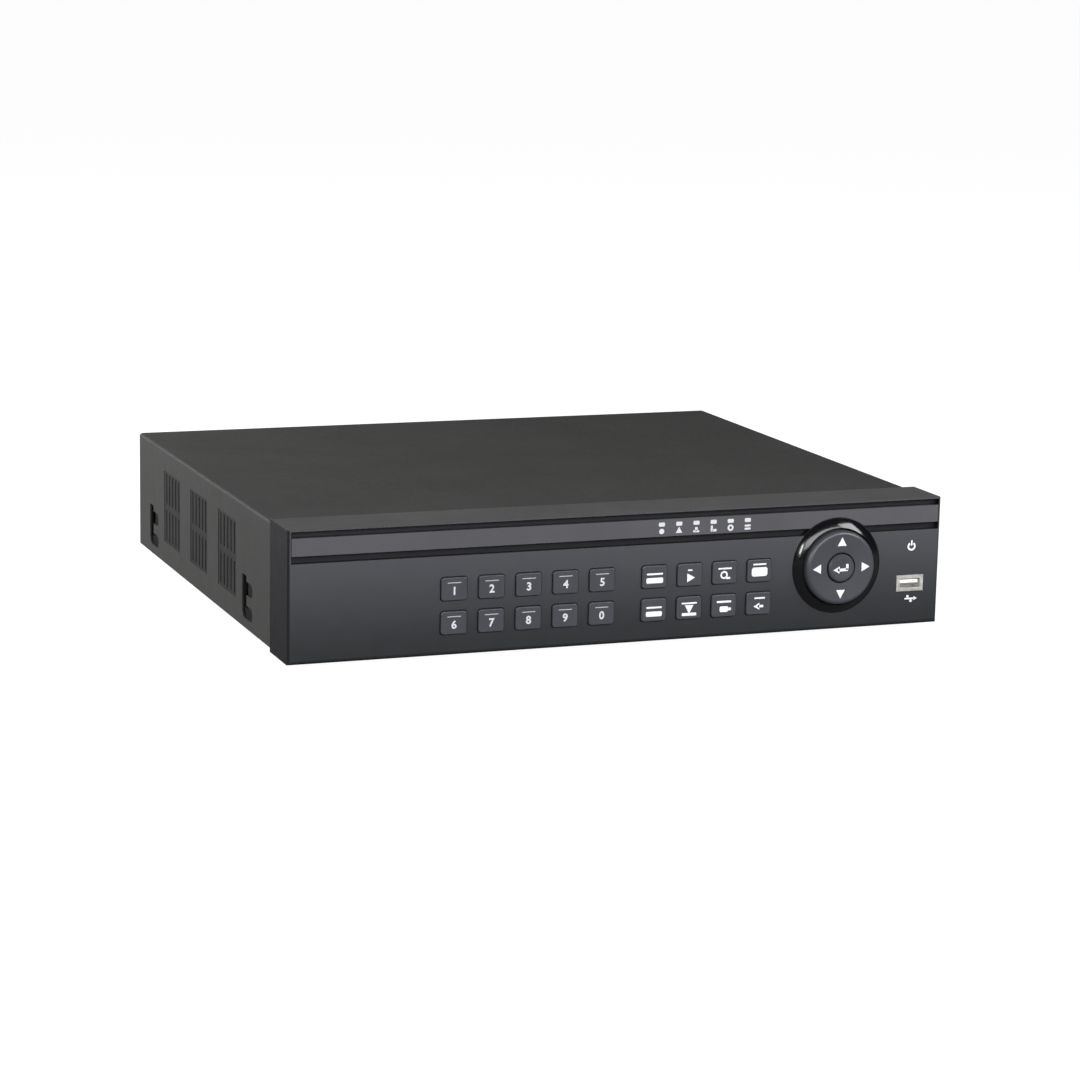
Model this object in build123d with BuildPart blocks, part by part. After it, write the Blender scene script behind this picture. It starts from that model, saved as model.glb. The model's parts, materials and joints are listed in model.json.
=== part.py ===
from build123d import *

import os

# Desktop video recorder: a folded steel case behind a plastic front bezel.
# Millimetres. X runs along the front, Y from the front to the back, Z up from the floor under the feet.
# "Depth" is measured from the bezel's front face towards the back.

# ---------------------------------------------------------------- overall sizes
BEZEL_WIDTH = 380.0
BEZEL_HEIGHT = 71.9
BEZEL_DEPTH = 34.0
CASE_DEPTH = 330.0
FOOT_HEIGHT = 5.0
FOOT_RADIUS = 9.0
BEZEL_DROP = 1.0
SHEET = 1.0
SHEET_GAP = 0.25

# ---------------------------------------------------------------- bezel
BEZEL_WALL = 2.4
BEZEL_FACE = 3.0
BEZEL_EDGE = 2.4
BEZEL_LIP = 0.7
STRIP_HEIGHT = 9.6
STRIP_GROOVE_TOP = 3.5
STRIP_GROOVE_BOTTOM = 4.0
STRIP_POCKET = 2.4
STRIP_GROOVE_DEPTH = 4.2
STRIP_RIB = 2.0
STRIP_END_WALL = 1.6

# ---------------------------------------------------------------- keys
KEY_WIDTH = 14.5
KEY_HEIGHT = 12.5
KEY_CORNER = 1.6
KEY_PROUD = 1.2
KEY_TRAVEL = 0.8
KEY_CLEARANCE = 0.45
NUMBER_KEY_PITCH = 21.1
FUNCTION_KEY_PITCH = 20.8
KEY_PITCH_Z = 18.4
NUMBER_KEYS_X = -98.8
FUNCTION_KEYS_X = 16.2
KEY_TOP_ROW = 36.3
KEY_FLANGE = 1.4
KEY_FLANGE_THICKNESS = 1.2
KEY_FLANGE_GAP = 0.1
STEM_RADIUS = 2.6
TIP_RADIUS = 1.6

# ---------------------------------------------------------------- round pad
NAV_FROM_RIGHT = 64.3
NAV_RING_WIDTH = 4.9
NAV_RING_PROUD = 2.9
NAV_DISC_RADIUS = 20.8
NAV_DISC_CLEARANCE = 1.1
NAV_PROUD = 6.8
NAV_WALL = 1.7
NAV_PIVOT_DEPTH = 8.0
NAV_SWITCH_INSET = 2.2
GIMBAL_WALL = 3.3
GIMBAL_CLEARANCE = 0.8
GIMBAL_THICKNESS = 4.0
GIMBAL_PIN_RADIUS = 1.0
GIMBAL_RUNNING_FIT = 0.06
LUG_CLEARANCE = 0.7
LUG_THICKNESS = 2.8
LUG_WIDTH = 6.0
ENTER_INSET = 4.3
ENTER_PROUD = 7.6
ENTER_CLEARANCE = 0.9

# ---------------------------------------------------------------- front electronics
FRONT_BOARD_DEPTH = 14.0
BOARD_THICKNESS = 1.6
SWITCH_SIDE = 6.0
SWITCH_HEIGHT = 3.5
SWITCH_WELL_RADIUS = 2.1
SWITCH_WELL_DEPTH = 2.1
TIP_ENTRY = 0.5
LAMP_COUNT = 6
LAMP_START_X = 20.1
LAMP_PITCH = 10.2
LAMP_RADIUS = 1.5
GUIDE_RADIUS = 1.4
GUIDE_CLEARANCE = 0.2
RECEIVER_X = 86.0
RECEIVER_WINDOW_RADIUS = 2.4
BOSS_RADIUS = 3.2
SCREW_RADIUS = 1.3
SCREW_HEAD_RADIUS = 2.8
SCREW_HEAD_HEIGHT = 2.0
SCREW_PILOT_GAP = 0.05
SCREW_HOLE_GAP = 0.35
FRONT_BOSS_X = (-112.0, 0.3, 94.0)
FRONT_BOSS_FROM_RIGHT = 9.0

# ---------------------------------------------------------------- USB sockets
USB_WIDTH = 13.2
USB_HEIGHT = 5.8
USB_SHELL = 0.35
USB_LIP = 1.7
USB_LENGTH = 13.4
USB_TONGUE_WIDTH = 11.1
USB_TONGUE_HEIGHT = 1.84
USB_FROM_RIGHT = 17.8
USB_FRONT_RISE = 23.8

# ---------------------------------------------------------------- case
CASE_INSET = 1.0
COVER_STEP = 1.9
COVER_BEND = 1.6
COVER_FLANGE = 12.0
SIDE_RAIL = 10.0
EAR_TAB_HEIGHT = 38.0
EAR_TAB_LENGTH = 44.0
EAR_HOLE_RADIUS = 1.65
EAR_HOLE_DEPTHS = (76.0, 286.0)
EAR_HOLE_RISES = (24.0, 10.5)
EAR_SLOT_OFFSET = 12.5
EAR_SLOT_WIDTH = 9.0
EAR_SLOT_LENGTH = 21.6
EAR_SLOT_LIFT = 3.0
EAR_LOBE_RADIUS = 3.8
VENT_CENTRES = (124.5, 186.5, 248.5)
VENT_WIDTH = 38.0
VENT_HEIGHT = 43.0
VENT_RISE = 36.0
VENT_RECESS = 0.4
VENT_COLUMNS = 5
VENT_PITCH = 7.2
VENT_SLOT_WIDTH = 2.2
VENT_SLOT_LENGTH = 18.0
VENT_ROW_GAP = 4.0

# ---------------------------------------------------------------- inside
STANDOFF_HEIGHT = 6.0
STANDOFF_RADIUS = 2.8
DRIVE_WIDTH = 101.6
DRIVE_LENGTH = 147.0
DRIVE_HEIGHT = 26.1
DRIVE_PAD_HEIGHT = 4.0
DRIVE_SIDE_GAP = 14.0
DRIVE_SPACING = 111.6
DRIVE_FRONT_GAP = 12.0
MAIN_BOARD_WIDTH = 262.0
MAIN_BOARD_LENGTH = 124.0
MAIN_BOARD_SIDE_GAP = 7.0
REAR_GAP = 2.0
SUPPLY_WIDTH = 54.0
SUPPLY_LENGTH = 112.0
SUPPLY_REAR_GAP = 22.0

# ---------------------------------------------------------------- back
BNC_COLUMNS = 9
BNC_PITCH = 14.5
BNC_RADIUS = 4.8
BNC_BORE = 4.05
BNC_LENGTH = 12.0
BNC_ROWS = (18.0, 36.0)
PANEL_HOLE_GAP = 0.3
AUDIO_RADIUS = 4.15
AUDIO_LENGTH = 8.5
AUDIO_ROWS = (18.0, 34.0)
FAN_SIDE = 40.0
FAN_THICKNESS = 10.0
FAN_BORE = 18.7
FAN_HUB = 8.5
FAN_BLADES = 7
FAN_SHAFT = 1.0
FAN_RUNNING_FIT = 0.05
FAN_HOLE_SPACING = 32.0
ROCKER_TILT = 8.0
ROCKER_PIN = 1.0

# ---------------------------------------------------------------- places that follow from the sizes
FRONT_Y = ENTER_PROUD - (ENTER_PROUD + CASE_DEPTH - SHEET + BNC_LENGTH) / 2
BEZEL_BASE = FOOT_HEIGHT - BEZEL_DROP
BEZEL_TOP = BEZEL_BASE + BEZEL_HEIGHT
HALF_BEZEL = BEZEL_WIDTH / 2
HALF_CASE = HALF_BEZEL - CASE_INSET
HALF_CHASSIS = HALF_CASE - SHEET - SHEET_GAP
CASE_TOP = BEZEL_TOP - COVER_STEP
FLOOR_TOP = FOOT_HEIGHT + SHEET
CASE_FRONT = BEZEL_DEPTH + SHEET_GAP
PANEL_BACK = CASE_DEPTH - SHEET
PANEL_FRONT = PANEL_BACK - SHEET
BOARD_LEVEL = FLOOR_TOP + STANDOFF_HEIGHT
BOARD_TOP = BOARD_LEVEL + BOARD_THICKNESS

STRIP_TOP = BEZEL_TOP - BEZEL_LIP - STRIP_GROOVE_TOP
STRIP_BASE = STRIP_TOP - STRIP_HEIGHT
POCKET_BASE = STRIP_BASE - STRIP_GROOVE_BOTTOM
STRIP_MIDDLE = (STRIP_TOP + STRIP_BASE) / 2

NAV_RING_BORE = NAV_DISC_RADIUS + NAV_DISC_CLEARANCE
NAV_RING_RADIUS = NAV_RING_BORE + NAV_RING_WIDTH
NAV_SWITCH_RADIUS = NAV_DISC_RADIUS - NAV_SWITCH_INSET
LUG_START = NAV_SWITCH_RADIUS - SWITCH_SIDE / 2 - LUG_CLEARANCE - LUG_THICKNESS
GIMBAL_OUTER = LUG_START - GIMBAL_CLEARANCE
GIMBAL_INNER = GIMBAL_OUTER - GIMBAL_WALL
ENTER_RADIUS = LUG_START - ENTER_INSET
NAV_X = HALF_BEZEL - NAV_FROM_RIGHT
NAV_Z = BEZEL_BASE + KEY_TOP_ROW
USB_X = HALF_BEZEL - USB_FROM_RIGHT
USB_Z = BEZEL_BASE + USB_FRONT_RISE
KEY_FLANGE_FRONT = BEZEL_FACE + KEY_FLANGE_GAP
KEY_FLANGE_BACK = KEY_FLANGE_FRONT + KEY_FLANGE_THICKNESS
SWITCH_FRONT = FRONT_BOARD_DEPTH - SWITCH_HEIGHT
TIP_BACK = SWITCH_FRONT + TIP_ENTRY
STEM_BACK = SWITCH_FRONT - KEY_TRAVEL - 0.1
FRONT_BOARD_BACK = FRONT_BOARD_DEPTH + BOARD_THICKNESS

NUMBER_KEYS = "1234567890"
FUNCTION_KEYS = ("menu", "play", "search", "record", "info", "backup", "camera", "escape")


def keypad(names, start, columns, pitch):
    """Name, X and Z of each key of a block, filled row by row from its top left corner."""
    places = []
    for index, word in enumerate(names):
        x = start + pitch * (index % columns)
        z = NAV_Z - KEY_PITCH_Z * (index // columns)
        places.append((f"key_{word}", x, z))
    return places


KEYS = keypad(NUMBER_KEYS, NUMBER_KEYS_X, 5, NUMBER_KEY_PITCH)
KEYS += keypad(FUNCTION_KEYS, FUNCTION_KEYS_X, 4, FUNCTION_KEY_PITCH)
LAMP_PLACES = [LAMP_START_X + LAMP_PITCH * index for index in range(LAMP_COUNT)]
BOSS_PLACES = [
    (x, z)
    for x in FRONT_BOSS_X + (HALF_BEZEL - FRONT_BOSS_FROM_RIGHT,)
    for z in (BEZEL_BASE + 7.2, POCKET_BASE - 5.0)
]
FIXING_PLACES = [
    (side * (HALF_BEZEL - 6.6), z) for side in (-1, 1) for z in (BEZEL_BASE + 14.0, BEZEL_BASE + 48.0)
]
FOOT_FROM_SIDE = 24.0
FOOT_DEPTHS = (BEZEL_DEPTH + 14.0, CASE_DEPTH - 30.0)
FOOT_PLACES = [(side * (HALF_CASE - FOOT_FROM_SIDE), depth) for side in (-1, 1) for depth in FOOT_DEPTHS]

os.makedirs("parts", exist_ok=True)


# ---------------------------------------------------------------- helpers
def face_plane(depth):
    """A plane parallel to the front face: sketch axes along X and Z, normal towards the front."""
    return Plane.XZ.offset(-(FRONT_Y + depth))


def block(x, depth, z, mode=Mode.ADD):
    """A box between pairs of limits."""
    with Locations((sum(x) / 2, FRONT_Y + sum(depth) / 2, sum(z) / 2)):
        Box(x[1] - x[0], depth[1] - depth[0], z[1] - z[0], mode=mode)


def rod(radius, x, depth, z, mode=Mode.ADD):
    """A round bar from one depth to another."""
    with Locations(Location((x, FRONT_Y + sum(depth) / 2, z), (90, 0, 0))):
        Cylinder(radius, depth[1] - depth[0], mode=mode)


def post(radius, x, depth, z, mode=Mode.ADD):
    """A round bar that stands upright between two heights."""
    with Locations((x, FRONT_Y + depth, sum(z) / 2)):
        Cylinder(radius, z[1] - z[0], mode=mode)


def crossbar(radius, x, depth, z, mode=Mode.ADD):
    """A round bar along X."""
    with Locations(Location((sum(x) / 2, FRONT_Y + depth, z), (0, 90, 0))):
        Cylinder(radius, x[1] - x[0], mode=mode)


def turned(x, z, outline):
    """A body of revolution about a line from front to back; the outline is in (radius, depth)."""
    with BuildSketch(Plane(origin=(x, FRONT_Y, z))) as profile:
        with BuildLine():
            Polyline(*outline, close=True)
        make_face()
    revolve(profile.sketch, axis=Axis((x, 0, z), (0, 1, 0)))


def around(middle, size):
    """The pair of limits of a given size about a middle."""
    return (middle - size / 2, middle + size / 2)


def save(piece, name):
    piece.part.label = name
    export_step(piece.part, f"parts/{name}.step")


# ---------------------------------------------------------------- front bezel
NAV_OPENING = NAV_RING_RADIUS - 1.6
NAV_ISLAND = NAV_RING_RADIUS + 0.1

with BuildPart() as front_bezel:
    with BuildSketch(face_plane(BEZEL_DEPTH)):
        with Locations((0, (BEZEL_BASE + BEZEL_TOP) / 2)):
            Rectangle(BEZEL_WIDTH, BEZEL_HEIGHT)
    extrude(amount=BEZEL_DEPTH)
    front_face = front_bezel.faces().sort_by(Axis.Y)[0]
    upright_edges = front_face.edges().filter_by(Axis.Z)
    lower_edge = front_face.edges().filter_by(Axis.X).sort_by(Axis.Z)[0:1]
    fillet(upright_edges + lower_edge, BEZEL_EDGE)
    inner_half = HALF_BEZEL - BEZEL_WALL
    inner_top = BEZEL_TOP - BEZEL_WALL
    inner_base = BEZEL_BASE + BEZEL_WALL
    block((-inner_half, inner_half), (BEZEL_FACE, BEZEL_DEPTH + 1), (inner_base, inner_top), Mode.SUBTRACT)
    # A rib thickens the face behind the indicator strip.
    block((-inner_half, inner_half), (BEZEL_FACE, BEZEL_FACE + STRIP_RIB), (POCKET_BASE - 1, inner_top))
    for x, z in BOSS_PLACES:
        rod(BOSS_RADIUS, x, (BEZEL_FACE, FRONT_BOARD_DEPTH), z)
        rod(SCREW_RADIUS + SCREW_PILOT_GAP, x, (BEZEL_FACE + 2, FRONT_BOARD_DEPTH), z, Mode.SUBTRACT)
    for x, z in FIXING_PLACES:
        block(around(x, 8.4), (BEZEL_DEPTH - 12, BEZEL_DEPTH), around(z, 8))
        rod(SCREW_RADIUS + SCREW_PILOT_GAP, x, (BEZEL_DEPTH - 9, BEZEL_DEPTH + 1), z, Mode.SUBTRACT)
    # The pocket for the strip stops round an island that carries the pad's ring.
    with BuildSketch(face_plane(STRIP_POCKET)):
        with Locations((0, (POCKET_BASE + STRIP_TOP + STRIP_GROOVE_TOP) / 2)):
            Rectangle(BEZEL_WIDTH - 2 * STRIP_END_WALL, STRIP_TOP + STRIP_GROOVE_TOP - POCKET_BASE)
        with Locations((NAV_X, NAV_Z)):
            Circle(NAV_ISLAND, mode=Mode.SUBTRACT)
    extrude(amount=STRIP_POCKET + 1, mode=Mode.SUBTRACT)
    # Deeper grooves run above and below the strip.
    with BuildSketch(face_plane(STRIP_GROOVE_DEPTH)):
        with Locations((0, STRIP_TOP + STRIP_GROOVE_TOP / 2)):
            Rectangle(BEZEL_WIDTH - 2 * STRIP_END_WALL, STRIP_GROOVE_TOP)
        with Locations((0, STRIP_BASE - STRIP_GROOVE_BOTTOM / 2)):
            Rectangle(BEZEL_WIDTH - 2 * STRIP_END_WALL, STRIP_GROOVE_BOTTOM)
        with Locations((NAV_X, NAV_Z)):
            Circle(NAV_ISLAND, mode=Mode.SUBTRACT)
    extrude(amount=STRIP_GROOVE_DEPTH + 1, mode=Mode.SUBTRACT)
    rod(NAV_OPENING, NAV_X, (-1, BEZEL_FACE + STRIP_RIB + 1), NAV_Z, Mode.SUBTRACT)
    with BuildSketch(face_plane(BEZEL_FACE + 1)):
        for _, x, z in KEYS:
            with Locations((x, z)):
                RectangleRounded(
                    KEY_WIDTH + 2 * KEY_CLEARANCE, KEY_HEIGHT + 2 * KEY_CLEARANCE, KEY_CORNER + KEY_CLEARANCE
                )
        with Locations((USB_X, USB_Z)):
            Rectangle(USB_WIDTH + 2 * USB_LIP + 0.4, USB_HEIGHT + 2 * USB_LIP + 0.4)
    extrude(amount=BEZEL_FACE + 2, mode=Mode.SUBTRACT)
    through_face = (STRIP_POCKET - 1, BEZEL_FACE + STRIP_RIB + 1)
    for x in LAMP_PLACES:
        rod(GUIDE_RADIUS + GUIDE_CLEARANCE, x, through_face, STRIP_MIDDLE, Mode.SUBTRACT)
    rod(RECEIVER_WINDOW_RADIUS, RECEIVER_X, through_face, STRIP_MIDDLE, Mode.SUBTRACT)
save(front_bezel, "front_bezel")

with BuildPart() as indicator_strip:
    with BuildSketch(face_plane(STRIP_POCKET - 0.05)):
        with Locations((0, STRIP_MIDDLE)):
            Rectangle(BEZEL_WIDTH - 2 * STRIP_END_WALL - 0.6, STRIP_HEIGHT)
        with Locations((NAV_X, NAV_Z)):
            Circle(NAV_ISLAND + 0.3, mode=Mode.SUBTRACT)
    extrude(amount=STRIP_POCKET - 0.25)
save(indicator_strip, "indicator_strip")

# ---------------------------------------------------------------- round pad
with BuildPart() as nav_trim_ring:
    with BuildSketch(Plane(origin=(NAV_X, FRONT_Y, NAV_Z))):
        with BuildLine():
            inner_crest = (NAV_RING_BORE, -NAV_RING_PROUD)
            ring_middle = (NAV_RING_BORE + NAV_RING_RADIUS) / 2
            outer_foot = (NAV_RING_RADIUS, -0.05)
            sleeve = NAV_OPENING - 0.15
            Polyline(inner_crest, (NAV_RING_BORE, BEZEL_FACE + STRIP_RIB), (sleeve, BEZEL_FACE + STRIP_RIB))
            Polyline((sleeve, BEZEL_FACE + STRIP_RIB), (sleeve, -0.05), outer_foot)
            ThreePointArc(outer_foot, (ring_middle, -NAV_RING_PROUD * 0.62), inner_crest)
        make_face()
    revolve(axis=Axis((NAV_X, 0, NAV_Z), (0, 1, 0)))
save(nav_trim_ring, "nav_trim_ring")

LUG_SPAN = (LUG_START, LUG_START + LUG_THICKNESS)
PIN_END = LUG_START + LUG_THICKNESS - 0.2
BRACKET_BACK = FRONT_BOARD_DEPTH - 0.1
BRACKET_FRONT = BRACKET_BACK - 1.6

with BuildPart() as nav_bracket:
    rod(LUG_START + LUG_THICKNESS, NAV_X, (BRACKET_FRONT, BRACKET_BACK), NAV_Z)
    rod(SWITCH_SIDE * 0.87, NAV_X, (BRACKET_FRONT - 1, BRACKET_BACK + 1), NAV_Z, Mode.SUBTRACT)
    for side in (-1, 1):
        lug = sorted((NAV_X + side * LUG_SPAN[0], NAV_X + side * LUG_SPAN[1]))
        block(lug, (NAV_PIVOT_DEPTH - 2.4, BRACKET_BACK), around(NAV_Z, LUG_WIDTH))
    crossbar(
        GIMBAL_PIN_RADIUS + GIMBAL_RUNNING_FIT,
        around(NAV_X, 2 * LUG_SPAN[1] + 2),
        NAV_PIVOT_DEPTH,
        NAV_Z,
        Mode.SUBTRACT,
    )
save(nav_bracket, "nav_bracket")

with BuildPart() as nav_gimbal_ring:
    gimbal_depths = around(NAV_PIVOT_DEPTH, GIMBAL_THICKNESS)
    rod(GIMBAL_OUTER, NAV_X, gimbal_depths, NAV_Z)
    crossbar(GIMBAL_PIN_RADIUS, around(NAV_X, 2 * PIN_END), NAV_PIVOT_DEPTH, NAV_Z)
    post(GIMBAL_PIN_RADIUS, NAV_X, NAV_PIVOT_DEPTH, around(NAV_Z, 2 * PIN_END))
    rod(GIMBAL_INNER, NAV_X, gimbal_depths, NAV_Z, Mode.SUBTRACT)
save(nav_gimbal_ring, "nav_gimbal_ring")

NAV_HOLE = ENTER_RADIUS + ENTER_CLEARANCE
NAV_BACK = 1.5
NAV_PLATE_BACK = -NAV_PROUD + NAV_WALL + 0.6

with BuildPart() as nav_disc:
    with BuildSketch(Plane(origin=(NAV_X, FRONT_Y, NAV_Z))):
        with BuildLine():
            hole_rim = (NAV_HOLE, -NAV_PROUD + 0.6)
            crown = (NAV_DISC_RADIUS - 2.2, -NAV_PROUD)
            shoulder = (NAV_DISC_RADIUS, -NAV_PROUD + 2.2)
            Line(hole_rim, crown)
            ThreePointArc(crown, (NAV_DISC_RADIUS - 0.64, -NAV_PROUD + 0.64), shoulder)
            Polyline(
                shoulder,
                (NAV_DISC_RADIUS, NAV_BACK),
                (NAV_DISC_RADIUS - NAV_WALL, NAV_BACK),
                (NAV_DISC_RADIUS - NAV_WALL, NAV_PLATE_BACK),
                (NAV_HOLE + NAV_WALL, NAV_PLATE_BACK),
                (NAV_HOLE + NAV_WALL, NAV_BACK),
                (NAV_HOLE, NAV_BACK),
                hole_rim,
            )
        make_face()
    revolve(axis=Axis((NAV_X, 0, NAV_Z), (0, 1, 0)))
    for side in (-1, 1):
        lug = sorted((NAV_Z + side * LUG_SPAN[0], NAV_Z + side * LUG_SPAN[1]))
        block(around(NAV_X, LUG_WIDTH), (NAV_PLATE_BACK - 0.5, NAV_PIVOT_DEPTH + 2.2), lug)
        for x, z in ((side * NAV_SWITCH_RADIUS, 0), (0, side * NAV_SWITCH_RADIUS)):
            rod(TIP_RADIUS - 0.1, NAV_X + x, (NAV_PLATE_BACK - 0.5, TIP_BACK), NAV_Z + z)
    post(
        GIMBAL_PIN_RADIUS + GIMBAL_RUNNING_FIT,
        NAV_X,
        NAV_PIVOT_DEPTH,
        around(NAV_Z, 2 * LUG_SPAN[1] + 2),
        Mode.SUBTRACT,
    )
save(nav_disc, "nav_disc")

with BuildPart() as enter_button:
    turned(
        NAV_X,
        NAV_Z,
        (
            (0, -ENTER_PROUD + 0.4),
            (ENTER_RADIUS - 2.0, -ENTER_PROUD),
            (ENTER_RADIUS - 0.8, -ENTER_PROUD),
            (ENTER_RADIUS, -ENTER_PROUD + 0.8),
            (ENTER_RADIUS, NAV_BACK + 1.1),
            (ENTER_RADIUS + 2.2, NAV_BACK + 1.1),
            (ENTER_RADIUS + 2.2, NAV_BACK + 2.3),
            (STEM_RADIUS, NAV_BACK + 2.3),
            (STEM_RADIUS, STEM_BACK),
            (TIP_RADIUS, STEM_BACK),
            (TIP_RADIUS, TIP_BACK),
            (0, TIP_BACK),
        ),
    )
save(enter_button, "enter_button")

# ---------------------------------------------------------------- keys
for name, x, z in KEYS:
    with BuildPart() as key:
        with BuildSketch(face_plane(KEY_FLANGE_FRONT)):
            with Locations((x, z)):
                RectangleRounded(KEY_WIDTH, KEY_HEIGHT, KEY_CORNER)
        extrude(amount=KEY_FLANGE_FRONT + KEY_PROUD)
        fillet(key.faces().sort_by(Axis.Y)[0].edges(), 0.5)
        block(
            around(x, KEY_WIDTH + 2 * KEY_FLANGE),
            (KEY_FLANGE_FRONT, KEY_FLANGE_BACK),
            around(z, KEY_HEIGHT + 2 * KEY_FLANGE),
        )
        rod(STEM_RADIUS, x, (KEY_FLANGE_BACK, STEM_BACK), z)
        rod(TIP_RADIUS, x, (STEM_BACK, TIP_BACK), z)
    save(key, name)

# ---------------------------------------------------------------- front electronics
SWITCH_PLACES = [(x, z) for _, x, z in KEYS] + [(NAV_X, NAV_Z)]
for side in (-1, 1):
    SWITCH_PLACES.append((NAV_X + side * NAV_SWITCH_RADIUS, NAV_Z))
    SWITCH_PLACES.append((NAV_X, NAV_Z + side * NAV_SWITCH_RADIUS))

with BuildPart() as tact_switches:
    for x, z in SWITCH_PLACES:
        block(around(x, SWITCH_SIDE), (SWITCH_FRONT, FRONT_BOARD_DEPTH), around(z, SWITCH_SIDE))
        well_floor = SWITCH_FRONT + SWITCH_WELL_DEPTH
        rod(SWITCH_WELL_RADIUS, x, (SWITCH_FRONT - 1, well_floor), z, Mode.SUBTRACT)
save(tact_switches, "tact_switches")

FRONT_BOARD_X = (FRONT_BOSS_X[0] - 7.0, HALF_BEZEL - BEZEL_WALL - 2.0)
FRONT_BOARD_Z = (BEZEL_BASE + BEZEL_WALL + 0.8, BEZEL_TOP - BEZEL_WALL - 1.5)
HEADER_X = 60.0
HEADER_Z = 50.0
HEADER_LENGTH = 26.0
HEADER_BACK = FRONT_BOARD_BACK + 6.0

with BuildPart() as front_board:
    block(FRONT_BOARD_X, (FRONT_BOARD_DEPTH, FRONT_BOARD_BACK), FRONT_BOARD_Z)
    for x, z in BOSS_PLACES:
        rod(SCREW_RADIUS + SCREW_HOLE_GAP, x, (FRONT_BOARD_DEPTH - 1, FRONT_BOARD_BACK + 1), z, Mode.SUBTRACT)
    # Cable header on the back of the board.
    block(around(HEADER_X, HEADER_LENGTH), (FRONT_BOARD_BACK, HEADER_BACK), around(HEADER_Z, 6))
save(front_board, "front_board")

with BuildPart() as indicator_lamps:
    for x in LAMP_PLACES:
        rod(LAMP_RADIUS, x, (FRONT_BOARD_DEPTH - 2.6, FRONT_BOARD_DEPTH), STRIP_MIDDLE)
        rod(LAMP_RADIUS + 0.4, x, (FRONT_BOARD_DEPTH - 0.8, FRONT_BOARD_DEPTH), STRIP_MIDDLE)
save(indicator_lamps, "indicator_lamps")

with BuildPart() as light_guides:
    for x in LAMP_PLACES:
        rod(GUIDE_RADIUS, x, (STRIP_POCKET + 0.05, FRONT_BOARD_DEPTH - 2.8), STRIP_MIDDLE)
        rod(GUIDE_RADIUS + 1.1, x, (BEZEL_FACE + STRIP_RIB + 0.1, BEZEL_FACE + STRIP_RIB + 1.1), STRIP_MIDDLE)
save(light_guides, "light_guides")

with BuildPart() as infrared_receiver:
    block(around(RECEIVER_X, 5.6), (FRONT_BOARD_DEPTH - 4.5, FRONT_BOARD_DEPTH), around(STRIP_MIDDLE, 6.4))
    rod(2.0, RECEIVER_X, (FRONT_BOARD_DEPTH - 6.5, FRONT_BOARD_DEPTH - 4.5), STRIP_MIDDLE)
save(infrared_receiver, "infrared_receiver")

# ---------------------------------------------------------------- USB sockets, front and back
USB_BACK_X = -HALF_CASE + 207.0
USB_BACK_Z = BOARD_TOP + USB_HEIGHT / 2 + 1.3
USB_PORTS = ((USB_X, USB_Z, 0.2, 1), (USB_BACK_X, USB_BACK_Z, PANEL_BACK + 0.6, -1))

with BuildPart() as usb_shells:
    for x, z, mouth, inward in USB_PORTS:
        back = mouth + inward * USB_LENGTH
        block(around(x, USB_WIDTH), sorted((mouth, back)), around(z, USB_HEIGHT))
        lip_back = mouth + inward * 0.6
        lip = sorted((mouth, lip_back))
        block(around(x, USB_WIDTH + 2 * USB_LIP), lip, around(z, USB_HEIGHT + 2 * USB_LIP))
        cavity = sorted((mouth - inward, back - inward * USB_SHELL))
        cavity_height = around(z, USB_HEIGHT - 2 * USB_SHELL)
        block(around(x, USB_WIDTH - 2 * USB_SHELL), cavity, cavity_height, Mode.SUBTRACT)
save(usb_shells, "usb_shells")

with BuildPart() as usb_tongues:
    for x, z, mouth, inward in USB_PORTS:
        back = mouth + inward * (USB_LENGTH - USB_SHELL)
        tongue = sorted((mouth + inward * 1.4, back))
        block(around(x, USB_TONGUE_WIDTH), tongue, around(z + 0.85, USB_TONGUE_HEIGHT))
        root = sorted((back - inward * 3.0, back))
        block(around(x, USB_WIDTH - 2 * USB_SHELL - 0.1), root, around(z, USB_HEIGHT - 2 * USB_SHELL - 0.1))
save(usb_tongues, "usb_tongues")

# ---------------------------------------------------------------- chassis
MAIN_BOARD_X = (-HALF_CHASSIS + MAIN_BOARD_SIDE_GAP, -HALF_CHASSIS + MAIN_BOARD_SIDE_GAP + MAIN_BOARD_WIDTH)
MAIN_BOARD_DEPTHS = (PANEL_FRONT - REAR_GAP - MAIN_BOARD_LENGTH, PANEL_FRONT - REAR_GAP)
SUPPLY_X = (HALF_CHASSIS - 6.0 - SUPPLY_WIDTH, HALF_CHASSIS - 6.0)
SUPPLY_DEPTHS = (PANEL_FRONT - SUPPLY_REAR_GAP - SUPPLY_LENGTH, PANEL_FRONT - SUPPLY_REAR_GAP)
DRIVE_DEPTHS = (CASE_FRONT + DRIVE_FRONT_GAP, CASE_FRONT + DRIVE_FRONT_GAP + DRIVE_LENGTH)
DRIVE_LEVELS = (FLOOR_TOP + DRIVE_PAD_HEIGHT, FLOOR_TOP + DRIVE_PAD_HEIGHT + DRIVE_HEIGHT)
DRIVE_CENTRES = [-HALF_CHASSIS + DRIVE_SIDE_GAP + DRIVE_WIDTH / 2 + DRIVE_SPACING * index for index in (0, 1)]
DRIVE_HOLES = [
    (x + side * 47.6, depth)
    for x in DRIVE_CENTRES
    for side in (-1, 1)
    for depth in (DRIVE_DEPTHS[0] + 29.5, DRIVE_DEPTHS[0] + 105.7)
]
POST_INSET = 4.0
MAIN_POSTS = [
    (x, depth)
    for x in (MAIN_BOARD_X[0] + POST_INSET, sum(MAIN_BOARD_X) / 2, MAIN_BOARD_X[1] - POST_INSET)
    for depth in (MAIN_BOARD_DEPTHS[0] + POST_INSET + 1, MAIN_BOARD_DEPTHS[1] - 30)
]
SUPPLY_POSTS = [
    (x, depth)
    for x in (SUPPLY_X[0] + POST_INSET, SUPPLY_X[1] - POST_INSET)
    for depth in (SUPPLY_DEPTHS[0] + POST_INSET, SUPPLY_DEPTHS[1] - POST_INSET)
]
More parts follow.
